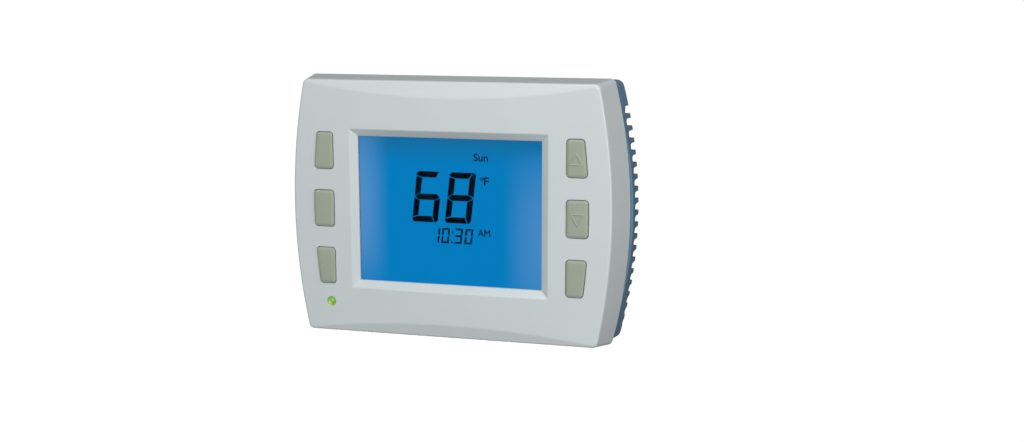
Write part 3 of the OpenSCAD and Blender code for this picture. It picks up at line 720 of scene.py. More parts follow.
class Effects:
    """The shader node groups that several materials share."""

    def __init__(self) -> None:
        """Builds every group once."""
        self.patches = self.soft_patches()
        self.grain = self.moulded_grain()
        self.wear = self.edge_wear()
        self.dust = self.settled_dust()
        self.copper = self.copper_tracks()

    def soft_patches(self) -> bpy.types.NodeTree:
        """Patches with soft edges: noise carried smoothly from 0 at Low to 1 at High.

        Returns:
            The group.
        """
        tree, graph, given, wanted = new_group(
            "soft_patches",
            {"Scale": 100.0, "Detail": 3.0, "Roughness": 0.5, "Low": 0.3, "High": 0.7},
            ["Mask"],
        )
        vector, scale, detail, rough, low, high = list(given.outputs)[:6]
        mask = graph.ramp(graph.noise(vector, scale, detail, rough), low, high)
        graph.put(mask, wanted.inputs["Mask"])
        return tree

    def moulded_grain(self) -> bpy.types.NodeTree:
        """The fine spark-eroded grain of a mould, with slow shifts of tone and gloss.

        Height = fine noise plus a third of noise at 2.7 times its scale. Tone and Gloss are
        slow noises stretched to the range 0 to 1.

        Returns:
            The group.
        """
        tree, graph, given, wanted = new_group(
            "moulded_grain", {"Scale": 2500.0}, ["Height", "Tone", "Gloss"]
        )
        place, scale = given.outputs["Vector"], given.outputs["Scale"]
        fine = graph.noise(place, scale, 2, 0.6)
        finer = graph.noise(place, graph.math("MULTIPLY", scale, 2.7), 1, 0.5)
        height = graph.math("MULTIPLY_ADD", finer, 0.33, fine)
        graph.put(height, wanted.inputs["Height"])
        for label, rate in (("Tone", 0.012), ("Gloss", 0.03)):
            slow = graph.noise(place, graph.math("MULTIPLY", scale, rate), 3, 0.55)
            spread = graph.math("SUBTRACT", slow, 0.5)
            value = graph.math("MULTIPLY_ADD", spread, 2.2, 0.5, clamp=True)
            graph.put(value, wanted.inputs[label])
        return tree

    def edge_wear(self) -> bpy.types.NodeTree:
        """Where edges are rubbed: high pointiness, broken up by noise.

        Returns:
            The group.
        """
        tree, graph, given, wanted = new_group(
            "edge_wear", {"Scale": 400.0, "Start": 0.52, "Stop": 0.6, "Amount": 0.3}, ["Mask"]
        )
        point = graph.add("ShaderNodeNewGeometry").outputs["Pointiness"]
        edge = graph.ramp(point, given.outputs["Start"], given.outputs["Stop"])
        broken = graph.noise(given.outputs["Vector"], given.outputs["Scale"], 4, 0.7)
        mask = graph.math("MULTIPLY", edge, graph.ramp(broken, 0.35, 0.65))
        graph.put(graph.math("MULTIPLY", mask, given.outputs["Amount"]), wanted.inputs["Mask"])
        return tree

    def settled_dust(self) -> bpy.types.NodeTree:
        """Where dust lies: on what faces up, in soft patches.

        Returns:
            The group.
        """
        tree, graph, given, wanted = new_group(
            "settled_dust", {"Scale": 120.0, "Amount": 0.3}, ["Mask"]
        )
        normal = graph.add("ShaderNodeNewGeometry").outputs["Normal"]
        upward = graph.ramp(graph.axes(normal)[2], 0.5, 1.0)
        patch = graph.noise(given.outputs["Vector"], given.outputs["Scale"], 5)
        patch = graph.math("MULTIPLY_ADD", graph.ramp(patch, 0.3, 0.7), 0.6, 0.4)
        mask = graph.math("MULTIPLY", upward, patch)
        graph.put(graph.math("MULTIPLY", mask, given.outputs["Amount"]), wanted.inputs["Mask"])
        return tree

    def copper_tracks(self) -> bpy.types.NodeTree:
        """The raised copper under a board's green mask, and its plated holes.

        Tracks are the edges of square cells, as a Voronoi pattern with the Chebychev distance
        has them. Holes are small discs on a second, wider pattern.

        Returns:
            The group.
        """
        tree, graph, given, wanted = new_group(
            "copper_tracks", {"Scale": 260.0, "Width": 0.035}, ["Track", "Hole"]
        )
        flat = graph.mapped(given.outputs["Vector"], (1.0, 0.02, 1.0))
        scale, width = given.outputs["Scale"], given.outputs["Width"]
        near = graph.cells(flat, scale, "CHEBYCHEV", "F1", 0.75)
        far = graph.cells(flat, scale, "CHEBYCHEV", "F2", 0.75)
        gap = graph.math("SUBTRACT", far, near)
        track = graph.ramp(gap, width, graph.math("MULTIPLY", width, 1.6), 1, 0)
        graph.put(track, wanted.inputs["Track"])
        wider = graph.math("MULTIPLY", scale, 0.7)
        dots = graph.cells(flat, wider, "EUCLIDEAN", "F1", 1.0)
        graph.put(graph.ramp(dots, 0.09, 0.12, 1, 0), wanted.inputs["Hole"])
        return tree


@dataclass(frozen=True)
class Finish:
    """A material: the record's slot that it is for, and two shades of its colour."""

    slot: str
    colour: Colour
    shade: Colour

    def shader(self) -> tuple[bpy.types.Material, Graph, bpy.types.NodeInputs]:
        """A new material.

        Returns:
            The material, the graph that writes in it, and the inputs of its Principled shader.
        """
        material = bpy.data.materials.new(self.slot)
        material.use_nodes = True
        inputs = material.node_tree.nodes["Principled BSDF"].inputs
        return material, Graph(material.node_tree), inputs

    def make(self, effects: Effects) -> bpy.types.Material:
        """The material. Each kind of finish builds its own."""
        raise NotImplementedError


@dataclass(frozen=True)
class Plastic(Finish):
    """Moulded plastic or rubber with a fine grain."""

    rough: float = 0.42
    rough_shift: float = 0.08
    grain: float = 2600.0
    grain_depth: float = 0.000012
    worn: Colour = (0.7, 0.7, 0.7)
    wear: float = 0.3
    dust: float = 0.12
    dust_colour: Colour = (0.5, 0.48, 0.45)
    level: float = 0.35
    coat: float = 0.0
    coat_rough: float = 0.15

    def make(self, effects: Effects) -> bpy.types.Material:
        """The moulded material: two shades by tone, rubbed edges, dust, and a grain.

        Args:
            effects: the shared node groups.

        Returns:
            The material.
        """
        material, graph, inputs = self.shader()
        place = graph.place()
        grain = graph.group(effects.grain, Vector=place, Scale=self.grain)
        wear = graph.group(effects.wear, Vector=place, Amount=self.wear)
        dust = graph.group(effects.dust, Vector=place, Amount=self.dust)
        colour = graph.blend(grain.outputs["Tone"], self.colour, self.shade)
        colour = graph.blend(wear.outputs["Mask"], colour, self.worn)
        colour = graph.blend(dust.outputs["Mask"], colour, self.dust_colour)
        graph.put(colour, inputs["Base Color"])
        rough = graph.math("MULTIPLY_ADD", grain.outputs["Gloss"], self.rough_shift, self.rough)
        rough = graph.math("MULTIPLY_ADD", dust.outputs["Mask"], 0.3, rough, clamp=True)
        graph.put(rough, inputs["Roughness"])
        graph.put(graph.bump(grain.outputs["Height"], self.grain_depth), inputs["Normal"])
        inputs["Specular IOR Level"].default_value = self.level
        inputs["Coat Weight"].default_value = self.coat
        inputs["Coat Roughness"].default_value = self.coat_rough
        return material


@dataclass(frozen=True)
class Metal(Finish):
    """Plated or drawn metal, with fine marks."""

    rough: float = 0.28
    marks: float = 1800.0
    marks_depth: float = 0.000008
    stretch: tuple[float, float, float] = (1.0, 1.0, 0.12)

    def make(self, effects: Effects) -> bpy.types.Material:
        """Metal with stretched marks in its roughness and height, and duller patches.

        Args:
            effects: the shared node groups.

        Returns:
            The material.
        """
        material, graph, inputs = self.shader()
        place = graph.place()
        marks = graph.noise(graph.mapped(place, self.stretch), self.marks, 3, 0.65)
        patch = graph.group(
            effects.patches, Vector=place, Scale=300.0, Detail=4.0, Low=0.35, High=0.7
        ).outputs["Mask"]
        graph.put(graph.blend(patch, self.colour, self.shade), inputs["Base Color"])
        rough = graph.math("MULTIPLY_ADD", marks, 0.2, self.rough)
        rough = graph.math("MULTIPLY_ADD", patch, 0.1, rough, clamp=True)
        graph.put(rough, inputs["Roughness"])
        graph.put(graph.bump(marks, self.marks_depth), inputs["Normal"])
        inputs["Metallic"].default_value = 1.0
        return material


@dataclass(frozen=True)
class ClearSheet(Finish):
    """A clear or milky sheet that lets light through."""

    rough: float
    index: float
    through: float
    level: float

    def make(self, effects: Effects) -> bpy.types.Material:
        """Clear plastic or glass, with faint smears in its gloss.

        Args:
            effects: the shared node groups.

        Returns:
            The material.
        """
        material, graph, inputs = self.shader()
        smear = graph.group(
            effects.patches, Vector=graph.place(), Scale=90.0, Detail=4.0, Roughness=0.6,
            Low=0.45, High=0.75,
        ).outputs["Mask"]
        graph.put(graph.blend(smear, self.colour, self.shade), inputs["Base Color"])
        graph.put(graph.math("MULTIPLY_ADD", smear, 0.03, self.rough), inputs["Roughness"])
        inputs["Transmission Weight"].default_value = self.through
        inputs["IOR"].default_value = self.index
        inputs["Specular IOR Level"].default_value = self.level
        return material


@dataclass(frozen=True)
class BoardFinish(Finish):
    """A circuit board: green mask over copper tracks, with plated holes."""

    metal: Colour = (0.75, 0.68, 0.5)
    grain: float = 1200.0
    copper_t: float = 0.00004
    rough: float = 0.32

    def make(self, effects: Effects) -> bpy.types.Material:
        """The board: lighter and raised over tracks, bare metal at the holes.

        Args:
            effects: the shared node groups.

        Returns:
            The material.
        """
        material, graph, inputs = self.shader()
        place = graph.place()
        copper = graph.group(effects.copper, Vector=place)
        grain = graph.group(effects.grain, Vector=place, Scale=self.grain)
        track, hole = copper.outputs["Track"], copper.outputs["Hole"]
        darker = tuple(c * 0.8 for c in self.shade)
        colour = graph.blend(grain.outputs["Tone"], self.shade, darker)
        colour = graph.blend(track, colour, self.colour)
        graph.put(graph.blend(hole, colour, self.metal), inputs["Base Color"])
        graph.put(hole, inputs["Metallic"])
        graph.put(graph.math("MULTIPLY_ADD", hole, -0.05, self.rough), inputs["Roughness"])
        height = graph.math("MAXIMUM", track, hole)
        graph.put(graph.bump(height, self.copper_t), inputs["Normal"])
        return material


@dataclass(frozen=True)
class SideLight:
    """What one side's lights add to the film, with places in metres."""

    end: float
    full: float
    mid_z: float
    strength: float
    reach: float = 0.04

    def share(self, graph: Graph, x: Socket, z: Socket) -> Socket:
        """Full at the edge, weaker with height and inwards.

        Args:
            graph: the material's graph.
            x: the place across.
            z: the height.

        Returns:
            strength * ramp(x) * (1 - ((z - mid_z) / reach)^2), where the ramp runs from 0 at end
            to 1 at full.
        """
        if self.full > self.end:
            across = graph.ramp(x, self.end, self.full)
        else:
            across = graph.ramp(x, self.full, self.end, 1, 0)
        away = graph.math("MULTIPLY", graph.math("SUBTRACT", z, self.mid_z), 1 / self.reach)
        along = graph.math("SUBTRACT", 1.0, graph.math("MULTIPLY", away, away), clamp=True)
        return graph.math("MULTIPLY", graph.math("MULTIPLY", across, along), self.strength)


@dataclass(frozen=True)
class LitFilm(Finish):
    """The lit film of the display: blue, with its side lights showing at the edges and painted
    shade at the top.
    """

    glow: Colour = (0.0815, 0.267, 0.565)
    lights: tuple[SideLight, ...] = (
        SideLight(-0.0265, -0.0405, 0.003, 1.0),
        SideLight(0.0215, 0.038, -0.012, 0.7),
    )
    # painted shade: the film is made darker between these heights, under the recess's top edge
    dim: tuple[float, float] = (0.0165, 0.033)  # heights over which it darkens, in metres
    clouds: float = 0.06

    def make(self, effects: Effects) -> bpy.types.Material:
        """The film's own light, paler at both sides, with painted shade darker at the top.

        Args:
            effects: the shared node groups.

        Returns:
            The material.
        """
        material, graph, inputs = self.shader()
        place = graph.place()
        x, _, z = graph.axes(place)
        cloud = graph.group(effects.patches, Vector=place, Scale=45.0, Detail=2.0)
        cloud = graph.math("MULTIPLY", cloud.outputs["Mask"], self.clouds)
        # painted shade towards the film's top edge, taken together with faint clouds of its own
        # tone
        dim = graph.math("MAXIMUM", graph.ramp(z, *self.dim), cloud)
        colour = graph.blend(dim, self.colour, self.shade)
        for light in self.lights:
            colour = graph.blend(light.share(graph, x, z), colour, self.glow)
        graph.put(colour, inputs["Emission Color"])
        inputs["Emission Strength"].default_value = 1.0
        inputs["Base Color"].default_value = (0, 0, 0, 1)
        inputs["Specular IOR Level"].default_value = 0.0
        return material


@dataclass(frozen=True)
class Ink(Finish):
    """The dark segments and words of the display."""

    def make(self, effects: Effects) -> bpy.types.Material:
        """Near black, with a slight unevenness.

        Args:
            effects: the shared node groups, which the ink has no use for.

        Returns:
            The material.
        """
        material, graph, inputs = self.shader()
        patch = graph.noise(graph.place(), 900.0, 2)
        graph.put(graph.blend(patch, self.colour, self.shade), inputs["Base Color"])
        graph.put(graph.math("MULTIPLY_ADD", patch, 0.1, 0.8), inputs["Roughness"])
        inputs["Specular IOR Level"].default_value = 0.0
        return material


@dataclass(frozen=True)
class GlowLens(Finish):
    """The lens of the status light, lit from inside. Spot and the chip's painted shadow lie in mm
    from its middle.
    """

    spot: Colour
    # painted shadow: the dark speck that the LED's chip casts in its glow
    chip_shadow: Colour = (0.08, 0.14, 0.01)
    middle: tuple[float, float] = LIGHT_AT
    spot_at: tuple[float, float] = (-0.75, -0.8)
    spot_reach: tuple[float, float] = (0.15, 1.1)
    chip_shadow_at: tuple[float, float] = (0.75, -0.5)
    chip_shadow_reach: tuple[float, float] = (0.1, 0.8)
    glow: float = 0.55
    rough: float = 0.18

    def make(self, effects: Effects) -> bpy.types.Material:
        """Green light, darker at the upper right, with a pale spot low on the left and a painted
        shadow of the chip.

        Args:
            effects: the shared node groups.

        Returns:
            The material.
        """
        material, graph, inputs = self.shader()
        x0, z0 = self.middle
        in_mm = graph.mapped(graph.place(), (1 / MM,) * 3, (-x0, 0.0, -z0))
        x, _, z = graph.axes(in_mm)
        slope = graph.math("MULTIPLY_ADD", z, 0.6, graph.math("MULTIPLY", x, 0.5))
        speck = graph.group(effects.patches, Vector=graph.place(), Scale=1500.0)
        speck = graph.math("MULTIPLY", speck.outputs["Mask"], 0.25)
        colour = graph.blend(graph.ramp(slope, -0.8, 1.1), self.colour, self.shade)
        colour = graph.blend(speck, colour, self.shade)
        spot = graph.ramp(graph.distance(x, z, self.spot_at), *self.spot_reach, 1, 0)
        colour = graph.blend(spot, colour, self.spot)
        # painted shadow of the chip, a dark speck in the glow
        chip_shadow = graph.ramp(graph.distance(x, z, self.chip_shadow_at), *self.chip_shadow_reach, 0.7, 0)
        colour = graph.blend(chip_shadow, colour, self.chip_shadow)
        graph.put(colour, inputs["Emission Color"])
        graph.put(colour, inputs["Base Color"])
        inputs["Emission Strength"].default_value = self.glow
        inputs["Roughness"].default_value = self.rough
        return material


# ---------- the front housing ----------


@dataclass
class FrontHousing:
    """The moulded front: a crowned face with a display recess, six key openings and a rim."""

    # the outline at the face and at the rim, and what joins them
    face: BowedForm = BowedForm(70.5, 55.2, 5.8, 2.6)
    rear: BowedForm = BowedForm(74.8, 56.8, 7.2, 2.6, -0.8)
    rim_u: float = 11.65
    rim_soft: float = 0.4
    face_u: float = 29.0
    inner_u: float = 27.0
    crown: float = 1.7
    crease: float = 0.07
    top_band: float = 7.2
    bottom_band: float = 6.0
    edge: float = 0.95
    edge_rise: float = 1.1
    corner_in: float = 0.2
    wall: float = 2.0

    # the recess of the display: softness is given as shares of the bevel and of the lip
    view_w: float = 81.2
    view_h: float = 63.0
    view_z: float = -0.4
    sharp: float = 0.02
    bevel: float = 3.1
    bevel_soft: tuple[float, float] = (0.1, 0.95)
    lip: float = 1.1
    lip_soft: float = 0.85
    mouth: float = 0.3
    mouth_radius: float = 0.3
    brink_radius: float = 0.1

    # the openings for the keys and the light
    hole_soft: float = 0.1
    flare: tuple[float, ...] = (0, 25, 45, 60, 72)
    cut_wide: float = 0.25
    cut_skim: float = 0.05
    cut_over: float = 1.0

    # what stands behind the face
    sunk: float = 0.5
    lens_rib: tuple[float, float] = (91.0, 76.8)
    lens_rib_t: float = 1.2
    lens_rib_lap: float = 1.0
    lens_rib_radii: tuple[float, float] = (0.6, 0.3)
    lens_u: float = 25.5
    boss: float = 6.0
    pilot: float = 2.6
    boss_x: float = 57.0
    boss_z: float = 46.6
    boss_u: float = 19.7
    webs: tuple[float, ...] = (-36.0, -12.0, 12.0, 36.0)
    web_h: float = 2.4

    def crown_at(self, x: np.ndarray | float) -> np.ndarray | float:
        """Depth of the crowned face: an arc over x with radius (a^2 + c^2) / 2c."""
        radius = (self.face.half_w**2 + self.crown**2) / (2 * self.crown)
        return self.face_u + self.crown - radius + np.sqrt(radius**2 - x * x)

    def surface(self, x: np.ndarray, z: np.ndarray) -> np.ndarray:
        """Depth of the face, with its sloping bands.

        It is the least of the crown's arc, the plane of the top band and that of the bottom
        band. The least of a and b is taken softly, as (a + b) / 2 - sqrt((a - b)^2 + k^2) / 2.

        Args:
            x: places across.
            z: heights.

        Returns:
            The depth at each of them.
        """
        depth = self.crown_at(x)
        for room, band in (
            (self.face.half_h - z, self.top_band),
            (self.face.half_h + z, self.bottom_band),
        ):
            plane = self.face_u + room * self.crown / band
            depth = (depth + plane) / 2 - np.sqrt((depth - plane) ** 2 + self.crease**2) / 2
        return depth

    def on_face(self, outline: np.ndarray) -> np.ndarray:
        """An outline laid on the face."""
        return at_depth(outline, self.surface(outline[:, 0], outline[:, 1]))

    def window(self, grow: float, radius: float) -> np.ndarray:
        """The outline of the display's opening.

        Args:
            grow: how much larger it is on each side.
            radius: radius of its corners.

        Returns:
            The outline, with as many points as the face's own.
        """
        half_w, half_h = self.view_w / 2 + grow, self.view_h / 2 + grow
        return BowedForm(half_w, half_h, 0, radius, self.view_z).outline()

    def outer_wall(self) -> list[np.ndarray]:
        """Rings from the rim up the outer wall, and over the soft edge onto the face.

        Returns:
            The rings, the last of which lies on the face.
        """
        rim = at_depth(self.rear.grown(-self.rim_soft).outline(), self.rim_u)
        low = at_depth(self.rear.outline(), self.rim_u + self.rim_soft)
        corner = self.on_face(self.face.grown(-self.corner_in).outline())
        rise = 1 - self.edge_rise * self.edge / (self.face_u - self.rim_u)
        high = low + (corner - low) * rise
        inset = self.on_face(self.face.grown(-self.edge).outline())
        return [rim, low] + between(low, high, 8) + rounded_edge(high, corner, inset, 8)

    def recess(self, mouth: np.ndarray) -> list[np.ndarray]:
        """Rings from the face down the recess, its bevel and its lip.

        Args:
            mouth: the ring on the face at which the recess begins. It is left out.

        Returns:
            The rings, the last of which lies in the inner face.
        """
        sill = self.window(0, self.sharp)
        brink = self.on_face(self.window(self.bevel, self.brink_radius))
        floor = at_depth(sill, self.inner_u + self.lip)
        upper, lower = (brink + (floor - brink) * share for share in self.bevel_soft)
        lip_end = at_depth(sill, self.inner_u + self.lip * self.lip_soft)
        rings = rounded_edge(mouth, brink, upper, 4) + between(upper, lower, 3)
        return rings + rounded_edge(lower, floor, lip_end, 3) + [at_depth(sill, self.inner_u)]

    def skin(self) -> Shell:
        """The whole moulding as one ring-shaped surface.

        It runs from the rim up the outer wall, over the soft edge, across the face to the
        recess, down its bevel and lip, back across the inner face and down the inner wall.

        Returns:
            The closed surface.
        """
        rings = self.outer_wall()
        mouth = self.on_face(self.window(self.bevel + self.mouth, self.mouth_radius))
        rings += [self.on_face(ring[:, [0, 2]]) for ring in between(rings[-1], mouth, 70)]
        rings += self.recess(mouth)
        cavity = at_depth(self.face.grown(-self.wall).outline(), self.inner_u)
        inner_rim = at_depth(self.rear.grown(-self.wall).outline(), self.rim_u)
        rings += between(rings[-1], cavity, 8) + between(cavity, inner_rim, 6)
        return lattice(np.array(rings), joined=True)

    def opening(self, outline_at: Callable[[float], np.ndarray]) -> Shell:
        """What is cut out for a key or the status light, with a soft mouth at the face.

        At each angle a of the flare, the outline is wider by s * (1 - cos a) and lies
        s * (1 - sin a) below the face.

        Args:
            outline_at: a function from a distance to the outline grown by it.

        Returns:
            A surface that reaches through the front wall.
        """
        soft = self.hole_soft
        rings = [at_depth(outline_at(0.0), self.inner_u - self.cut_over)]
        wider = [soft * (1 - math.cos(math.radians(angle))) for angle in self.flare]
        for angle, grow in zip(self.flare, wider):
            drop = soft * (math.sin(math.radians(angle)) - 1)
            rings.append(self.on_face(outline_at(grow)) + (0, drop, 0))
        wide = self.on_face(outline_at(wider[-1] + self.cut_wide))
        rings += [wide + (0, self.cut_skim, 0), wide + (0, self.cut_over, 0)]
        return lattice(np.array(rings))

    def fittings(self) -> list[Shell]:
        """The window's rib, four bosses for the board, and webs to the top and bottom.

        Returns:
            A surface for each, sunk a little into the front wall.
        """
        (wide, high), t = self.lens_rib, self.lens_rib_t
        outer, inner = self.lens_rib_radii
        front = self.inner_u + self.sunk
        rib = tube(
            rounded(rectangle(0, self.view_z, wide + 2 * t, high + 2 * t), outer),
            rounded(rectangle(0, self.view_z, wide, high), inner),
            self.lens_u - self.lens_rib_lap,
            front,
        )
        bosses = [
            tube(circle(x, z, self.boss), circle(x, z, self.pilot), self.boss_u, front)
            for x in (-self.boss_x, self.boss_x)
            for z in (-self.boss_z, self.boss_z)
        ]
        webs = []
        stop = self.face.half_h - self.wall / 2
        for x in self.webs:
            for side in (-1, 1):
                start = self.view_z * side + high / 2 + t / 2
                web = rectangle(x, side * (start + stop) / 2, t, stop - start)
                webs.append(prism(web, self.inner_u - self.web_h, front))
        return [rib, *bosses, *webs]

    def make(self, finish: Materials, holes: list[Shell]) -> None:
        """Builds the housing, dresses it and fits it.

        Args:
            finish: the materials.
            holes: what the keys and the light need cut out of the face.
        """
        piece = self.skin().piece("housing_shell")
        carve(piece, holes)
        join(piece, self.fittings())
        smooth(piece, 30)
        plastic = finish["housing_plastic"]
        fit(piece, Body.FRONT.value, "housing_plastic", plastic, "front_housing")


# ---------- the keys ----------


class Side(Enum):
    """Which column a key stands in."""

    LEFT = -1
    RIGHT = 1


class Arrow(Enum):
    """The raised triangle on a key: none, or the way it points."""

    NONE = 0
    UP = 1
    DOWN = -1


KEY_ROWS: dict[str, float] = {"top": 24.6, "middle": -0.6, "bottom": -25.8}
KEY_ARROWS: dict[str, Arrow] = {"right_top": Arrow.UP, "right_middle": Arrow.DOWN}


@dataclass
class Key:
    """One sprung key: a crowned cap, a flange behind the face, and a stem."""

    name: str
    side: Side
    z: float
    arrow: Arrow
    housing: FrontHousing

    # the cap, from its inner side to the margin that it leaves at the face's side
    inner_x: float = 51.5
    margin: float = 9.8
    height: float = 15.7
    radius: float = 1.4
    proud: float = 0.8
    slope_w: float = 1.0
    slope_h: float = 0.35
    wall_soft: float = 0.15
    top_soft: float = 0.2
    dome: float = 0.08

    # what stands behind the face, and the gap round the cap
    flange: float = 1.1
    flange_u: tuple[float, float] = (25.7, 26.9)
    stem: float = 5.0
    stem_u: float = 20.8
    gap: float = 0.27

    # the triangle, with its crest as shares of the line's width
    arrow_reach: float = 3.9
    arrow_line: float = 0.85
    arrow_crest: tuple[float, float] = (0.4, 0.6)
    arrow_radius: float = 0.12
    arrow_h: float = 0.25
    arrow_sunk: float = 0.05
    arrow_root: float = 0.25
    arrow_drop: float = 0.3
    arrow_back: float = 0.75

    def middle_x(self) -> float:
        """Middle of the key, across, on the right-hand side."""
        return (self.inner_x + self.housing.face.side_at(self.z) - self.margin) / 2

    def outline(self, grow: float) -> np.ndarray:
        """The key's outline: its outer side follows the bowed side of the face.

        Args:
            grow: how much larger it is on each side.

        Returns:
            The outline.
        """
        z = np.array([self.z - self.height / 2 - grow, self.z, self.z + self.height / 2 + grow])
        outer = self.housing.face.side_at(z) - self.margin + grow
        x0 = self.inner_x - grow
        corners = np.array(
            [[x0, z[0]], [outer[0], z[0]], [outer[1], z[1]], [outer[2], z[2]], [x0, z[2]]]
        )
        ring = rounded(corners, self.radius + grow, arc=8, straight=8)
        return ring * (self.side.value, 1)

    def opening(self) -> Shell:
        """The hole that the key needs in the face."""
        return self.housing.opening(lambda grow: self.outline(self.gap + grow))

    def top_u(self) -> float:
        """Depth of the cap's top."""
        return float(self.housing.crown_at(self.middle_x())) + self.proud

    def foot(self, middle: np.ndarray) -> list[np.ndarray]:
        """Rings of the round stem and the flange.

        Args:
            middle: the key's middle, in x and z.

        Returns:
            The rings, the last of which is the cap's outline on the flange.
        """
        away = self.outline(0) - middle
        stem = middle + away / np.linalg.norm(away, axis=1, keepdims=True) * self.stem / 2
        low, high = self.flange_u
        wide = self.outline(self.flange)
        return [
            at_depth(stem, self.stem_u),
            at_depth(stem, low),
            at_depth(wide, low),
            at_depth(wide, high),
            at_depth(self.outline(0), high),
        ]

    def shell(self) -> Shell:
        """Stem, flange and cap as one surface.

        The cap has a sloping border round its top. The top is a dome: its depth falls by
        dome * s^2 from the middle, s = 0, to the border, s = 1.

        Returns:
            The closed surface.
        """
        middle = np.array([self.side.value * self.middle_x(), self.z])
        top = self.top_u()
        flat, slope = top - self.dome, self.slope_h / self.slope_w

        def border(inset: float) -> np.ndarray:
            """The ring on the sloping border that lies this far in from the cap's outline."""
            return at_depth(self.outline(-inset), flat - (self.slope_w - inset) * slope)

        rings = self.foot(middle)
        wall = at_depth(self.outline(0), flat - self.slope_h - self.wall_soft)
        rings += between(rings[-1], wall, 3)
        rings += rounded_edge(wall, border(0), border(self.wall_soft), 4)
        inset = self.outline(-self.slope_w - self.top_soft)
        soft_start = border(self.slope_w - self.top_soft)
        rings += rounded_edge(soft_start, border(self.slope_w), at_depth(inset, flat), 4)
        for s in np.linspace(1, 0, 9)[1:-1]:
            rings.append(at_depth(middle + (inset - middle) * s, top - self.dome * s * s))
        return lattice(np.array(rings))

    def triangle(self) -> Shell:
        """The raised outline of a triangle, with soft edges.

        Its centre is arrow_drop below the key's, and arrow_back further towards its foot.

        Returns:
            The ring-shaped surface.
        """
        up, line = self.arrow.value, self.arrow_line
        x = self.side.value * self.middle_x()
        z = self.z - self.arrow_drop - up * self.arrow_back
        angles = np.radians((90, 210, 330))
        corners = np.column_stack((np.cos(angles), np.sin(angles))) * (1, up)

        def ring(share: float, u: float) -> np.ndarray:
            """The triangle at depth u, each side moved in by this share of the line's width."""
            size = self.arrow_reach - 2 * share * line
            return at_depth(rounded(corners * size, self.arrow_radius, 3, 3) + (x, z), u)

        foot, high = self.top_u() - self.arrow_sunk, self.top_u() + self.arrow_h
        root = foot - self.arrow_root
        outer, inner = self.arrow_crest
        places = ((0, root), (0, foot), (outer, high), (inner, high), (1, foot), (1, root))
        return lattice(np.array([ring(share, u) for share, u in places]), joined=True)

    def make(self, finish: Materials) -> None:
        """Builds the key, dresses it and fits it.

        Args:
            finish: the materials.
        """
        shells = [self.shell()]
        if self.arrow is not Arrow.NONE:
            shells.append(self.triangle())
        piece = merged(shells).piece(f"cap_{self.name}")
        smooth(piece, 40)
        fit(piece, self.name, "key_rubber", finish["key_rubber"], f"key_{self.name}")


def all_keys(housing: FrontHousing) -> list[Key]:
    """The six keys, the left column first and each from the top down.

    Args:
        housing: the housing that they stand in.

    Returns:
        The keys.
    """
    keys = []
    for side in Side:
        for row, z in KEY_ROWS.items():
            name = f"{side.name.lower()}_{row}"
            keys.append(Key(name, side, z, KEY_ARROWS.get(name, Arrow.NONE), housing))
    return keys


# ---------- the display ----------


LIT_SEGMENTS: dict[str, str] = {
    "0": "abcdef", "1": "bc", "3": "abgcd", "6": "afgedc", "8": "abcdefg",
}


@dataclass(frozen=True)
class Segments:
    """A row of slanted seven-segment figures, in mm. Each stands at its own step from x."""

    text: str
    x: float
    z: float
    w: float
    h: float
    stroke: float
    slant: float
    gap: float
    steps: tuple[float, ...]

    def shapes(self) -> dict[str, np.ndarray]:
        """The corners of each segment, before the slant.

        The level ones take the left corners, and the upright ones take the right corners. Of
        the stroke, cut is what an outer corner loses, and deep, point and near say how far in
        the tips of a level, the middle and an upright one lie. The mitre is the slanted gap.

        Returns:
            The corners in x and z, by the segment's letter.
        """
        w, h, s, g = self.w, self.h, self.stroke, self.gap
        m, cut, deep, point, near, mitre = h / 2, s * 0.35, s * 0.65, s * 0.75, s * 0.7, g * 1.3
        half, tip = s * 0.5, s / 2 + g * 0.3
        shapes = {
            "a": [[cut, h], [w - half - mitre, h], [w - s - mitre, h - s], [s, h - s],
                  [0, h - deep], [0, h - cut]],
            "g": [[g, m], [point, m + half], [w - point, m + half], [w - g, m],
                  [w - point, m - half], [point, m - half]],
            "f": [[0, h - deep - mitre], [s, h - s - mitre], [s, m + half + g], [near, m + tip],
                  [0, m + g]],
            "b": [[w - half, h], [w - cut, h], [w, h - cut], [w, m + g], [w - near, m + tip],
                  [w - s, m + half + g], [w - s, h - s]],
        }
        for upper, lower in (("a", "d"), ("f", "e"), ("b", "c")):
            shapes[lower] = [[x, h - z] for x, z in shapes[upper]]
        return {name: np.array(points, float) for name, points in shapes.items()}

    def leaned(self, points: np.ndarray) -> np.ndarray:
        """Points slanted to the right with height, and placed: x + slant * z."""
        return np.column_stack((points[:, 0] + self.slant * points[:, 1], points[:, 1] + self.z))

    def shells(self, u0: float, u1: float) -> list[Shell]:
        """The figures' segments as thin solids.

        Args:
            u0: depth of their back.
            u1: depth of their front.

        Returns:
            A surface for each segment.
        """
        shapes = self.shapes()
        return [
            prism(self.leaned(shapes[name] + (self.x + step, 0)), u0, u1)
            for figure, step in zip(self.text, self.steps)
            for name in LIT_SEGMENTS[figure]
        ]


@dataclass(frozen=True)
class Word:
    """A word of the display: its left, foot, width and height in mm, and how much bolder."""

    name: str
    text: str
    x: float
    z: float
    w: float
    h: float
    bold: float = 0.012


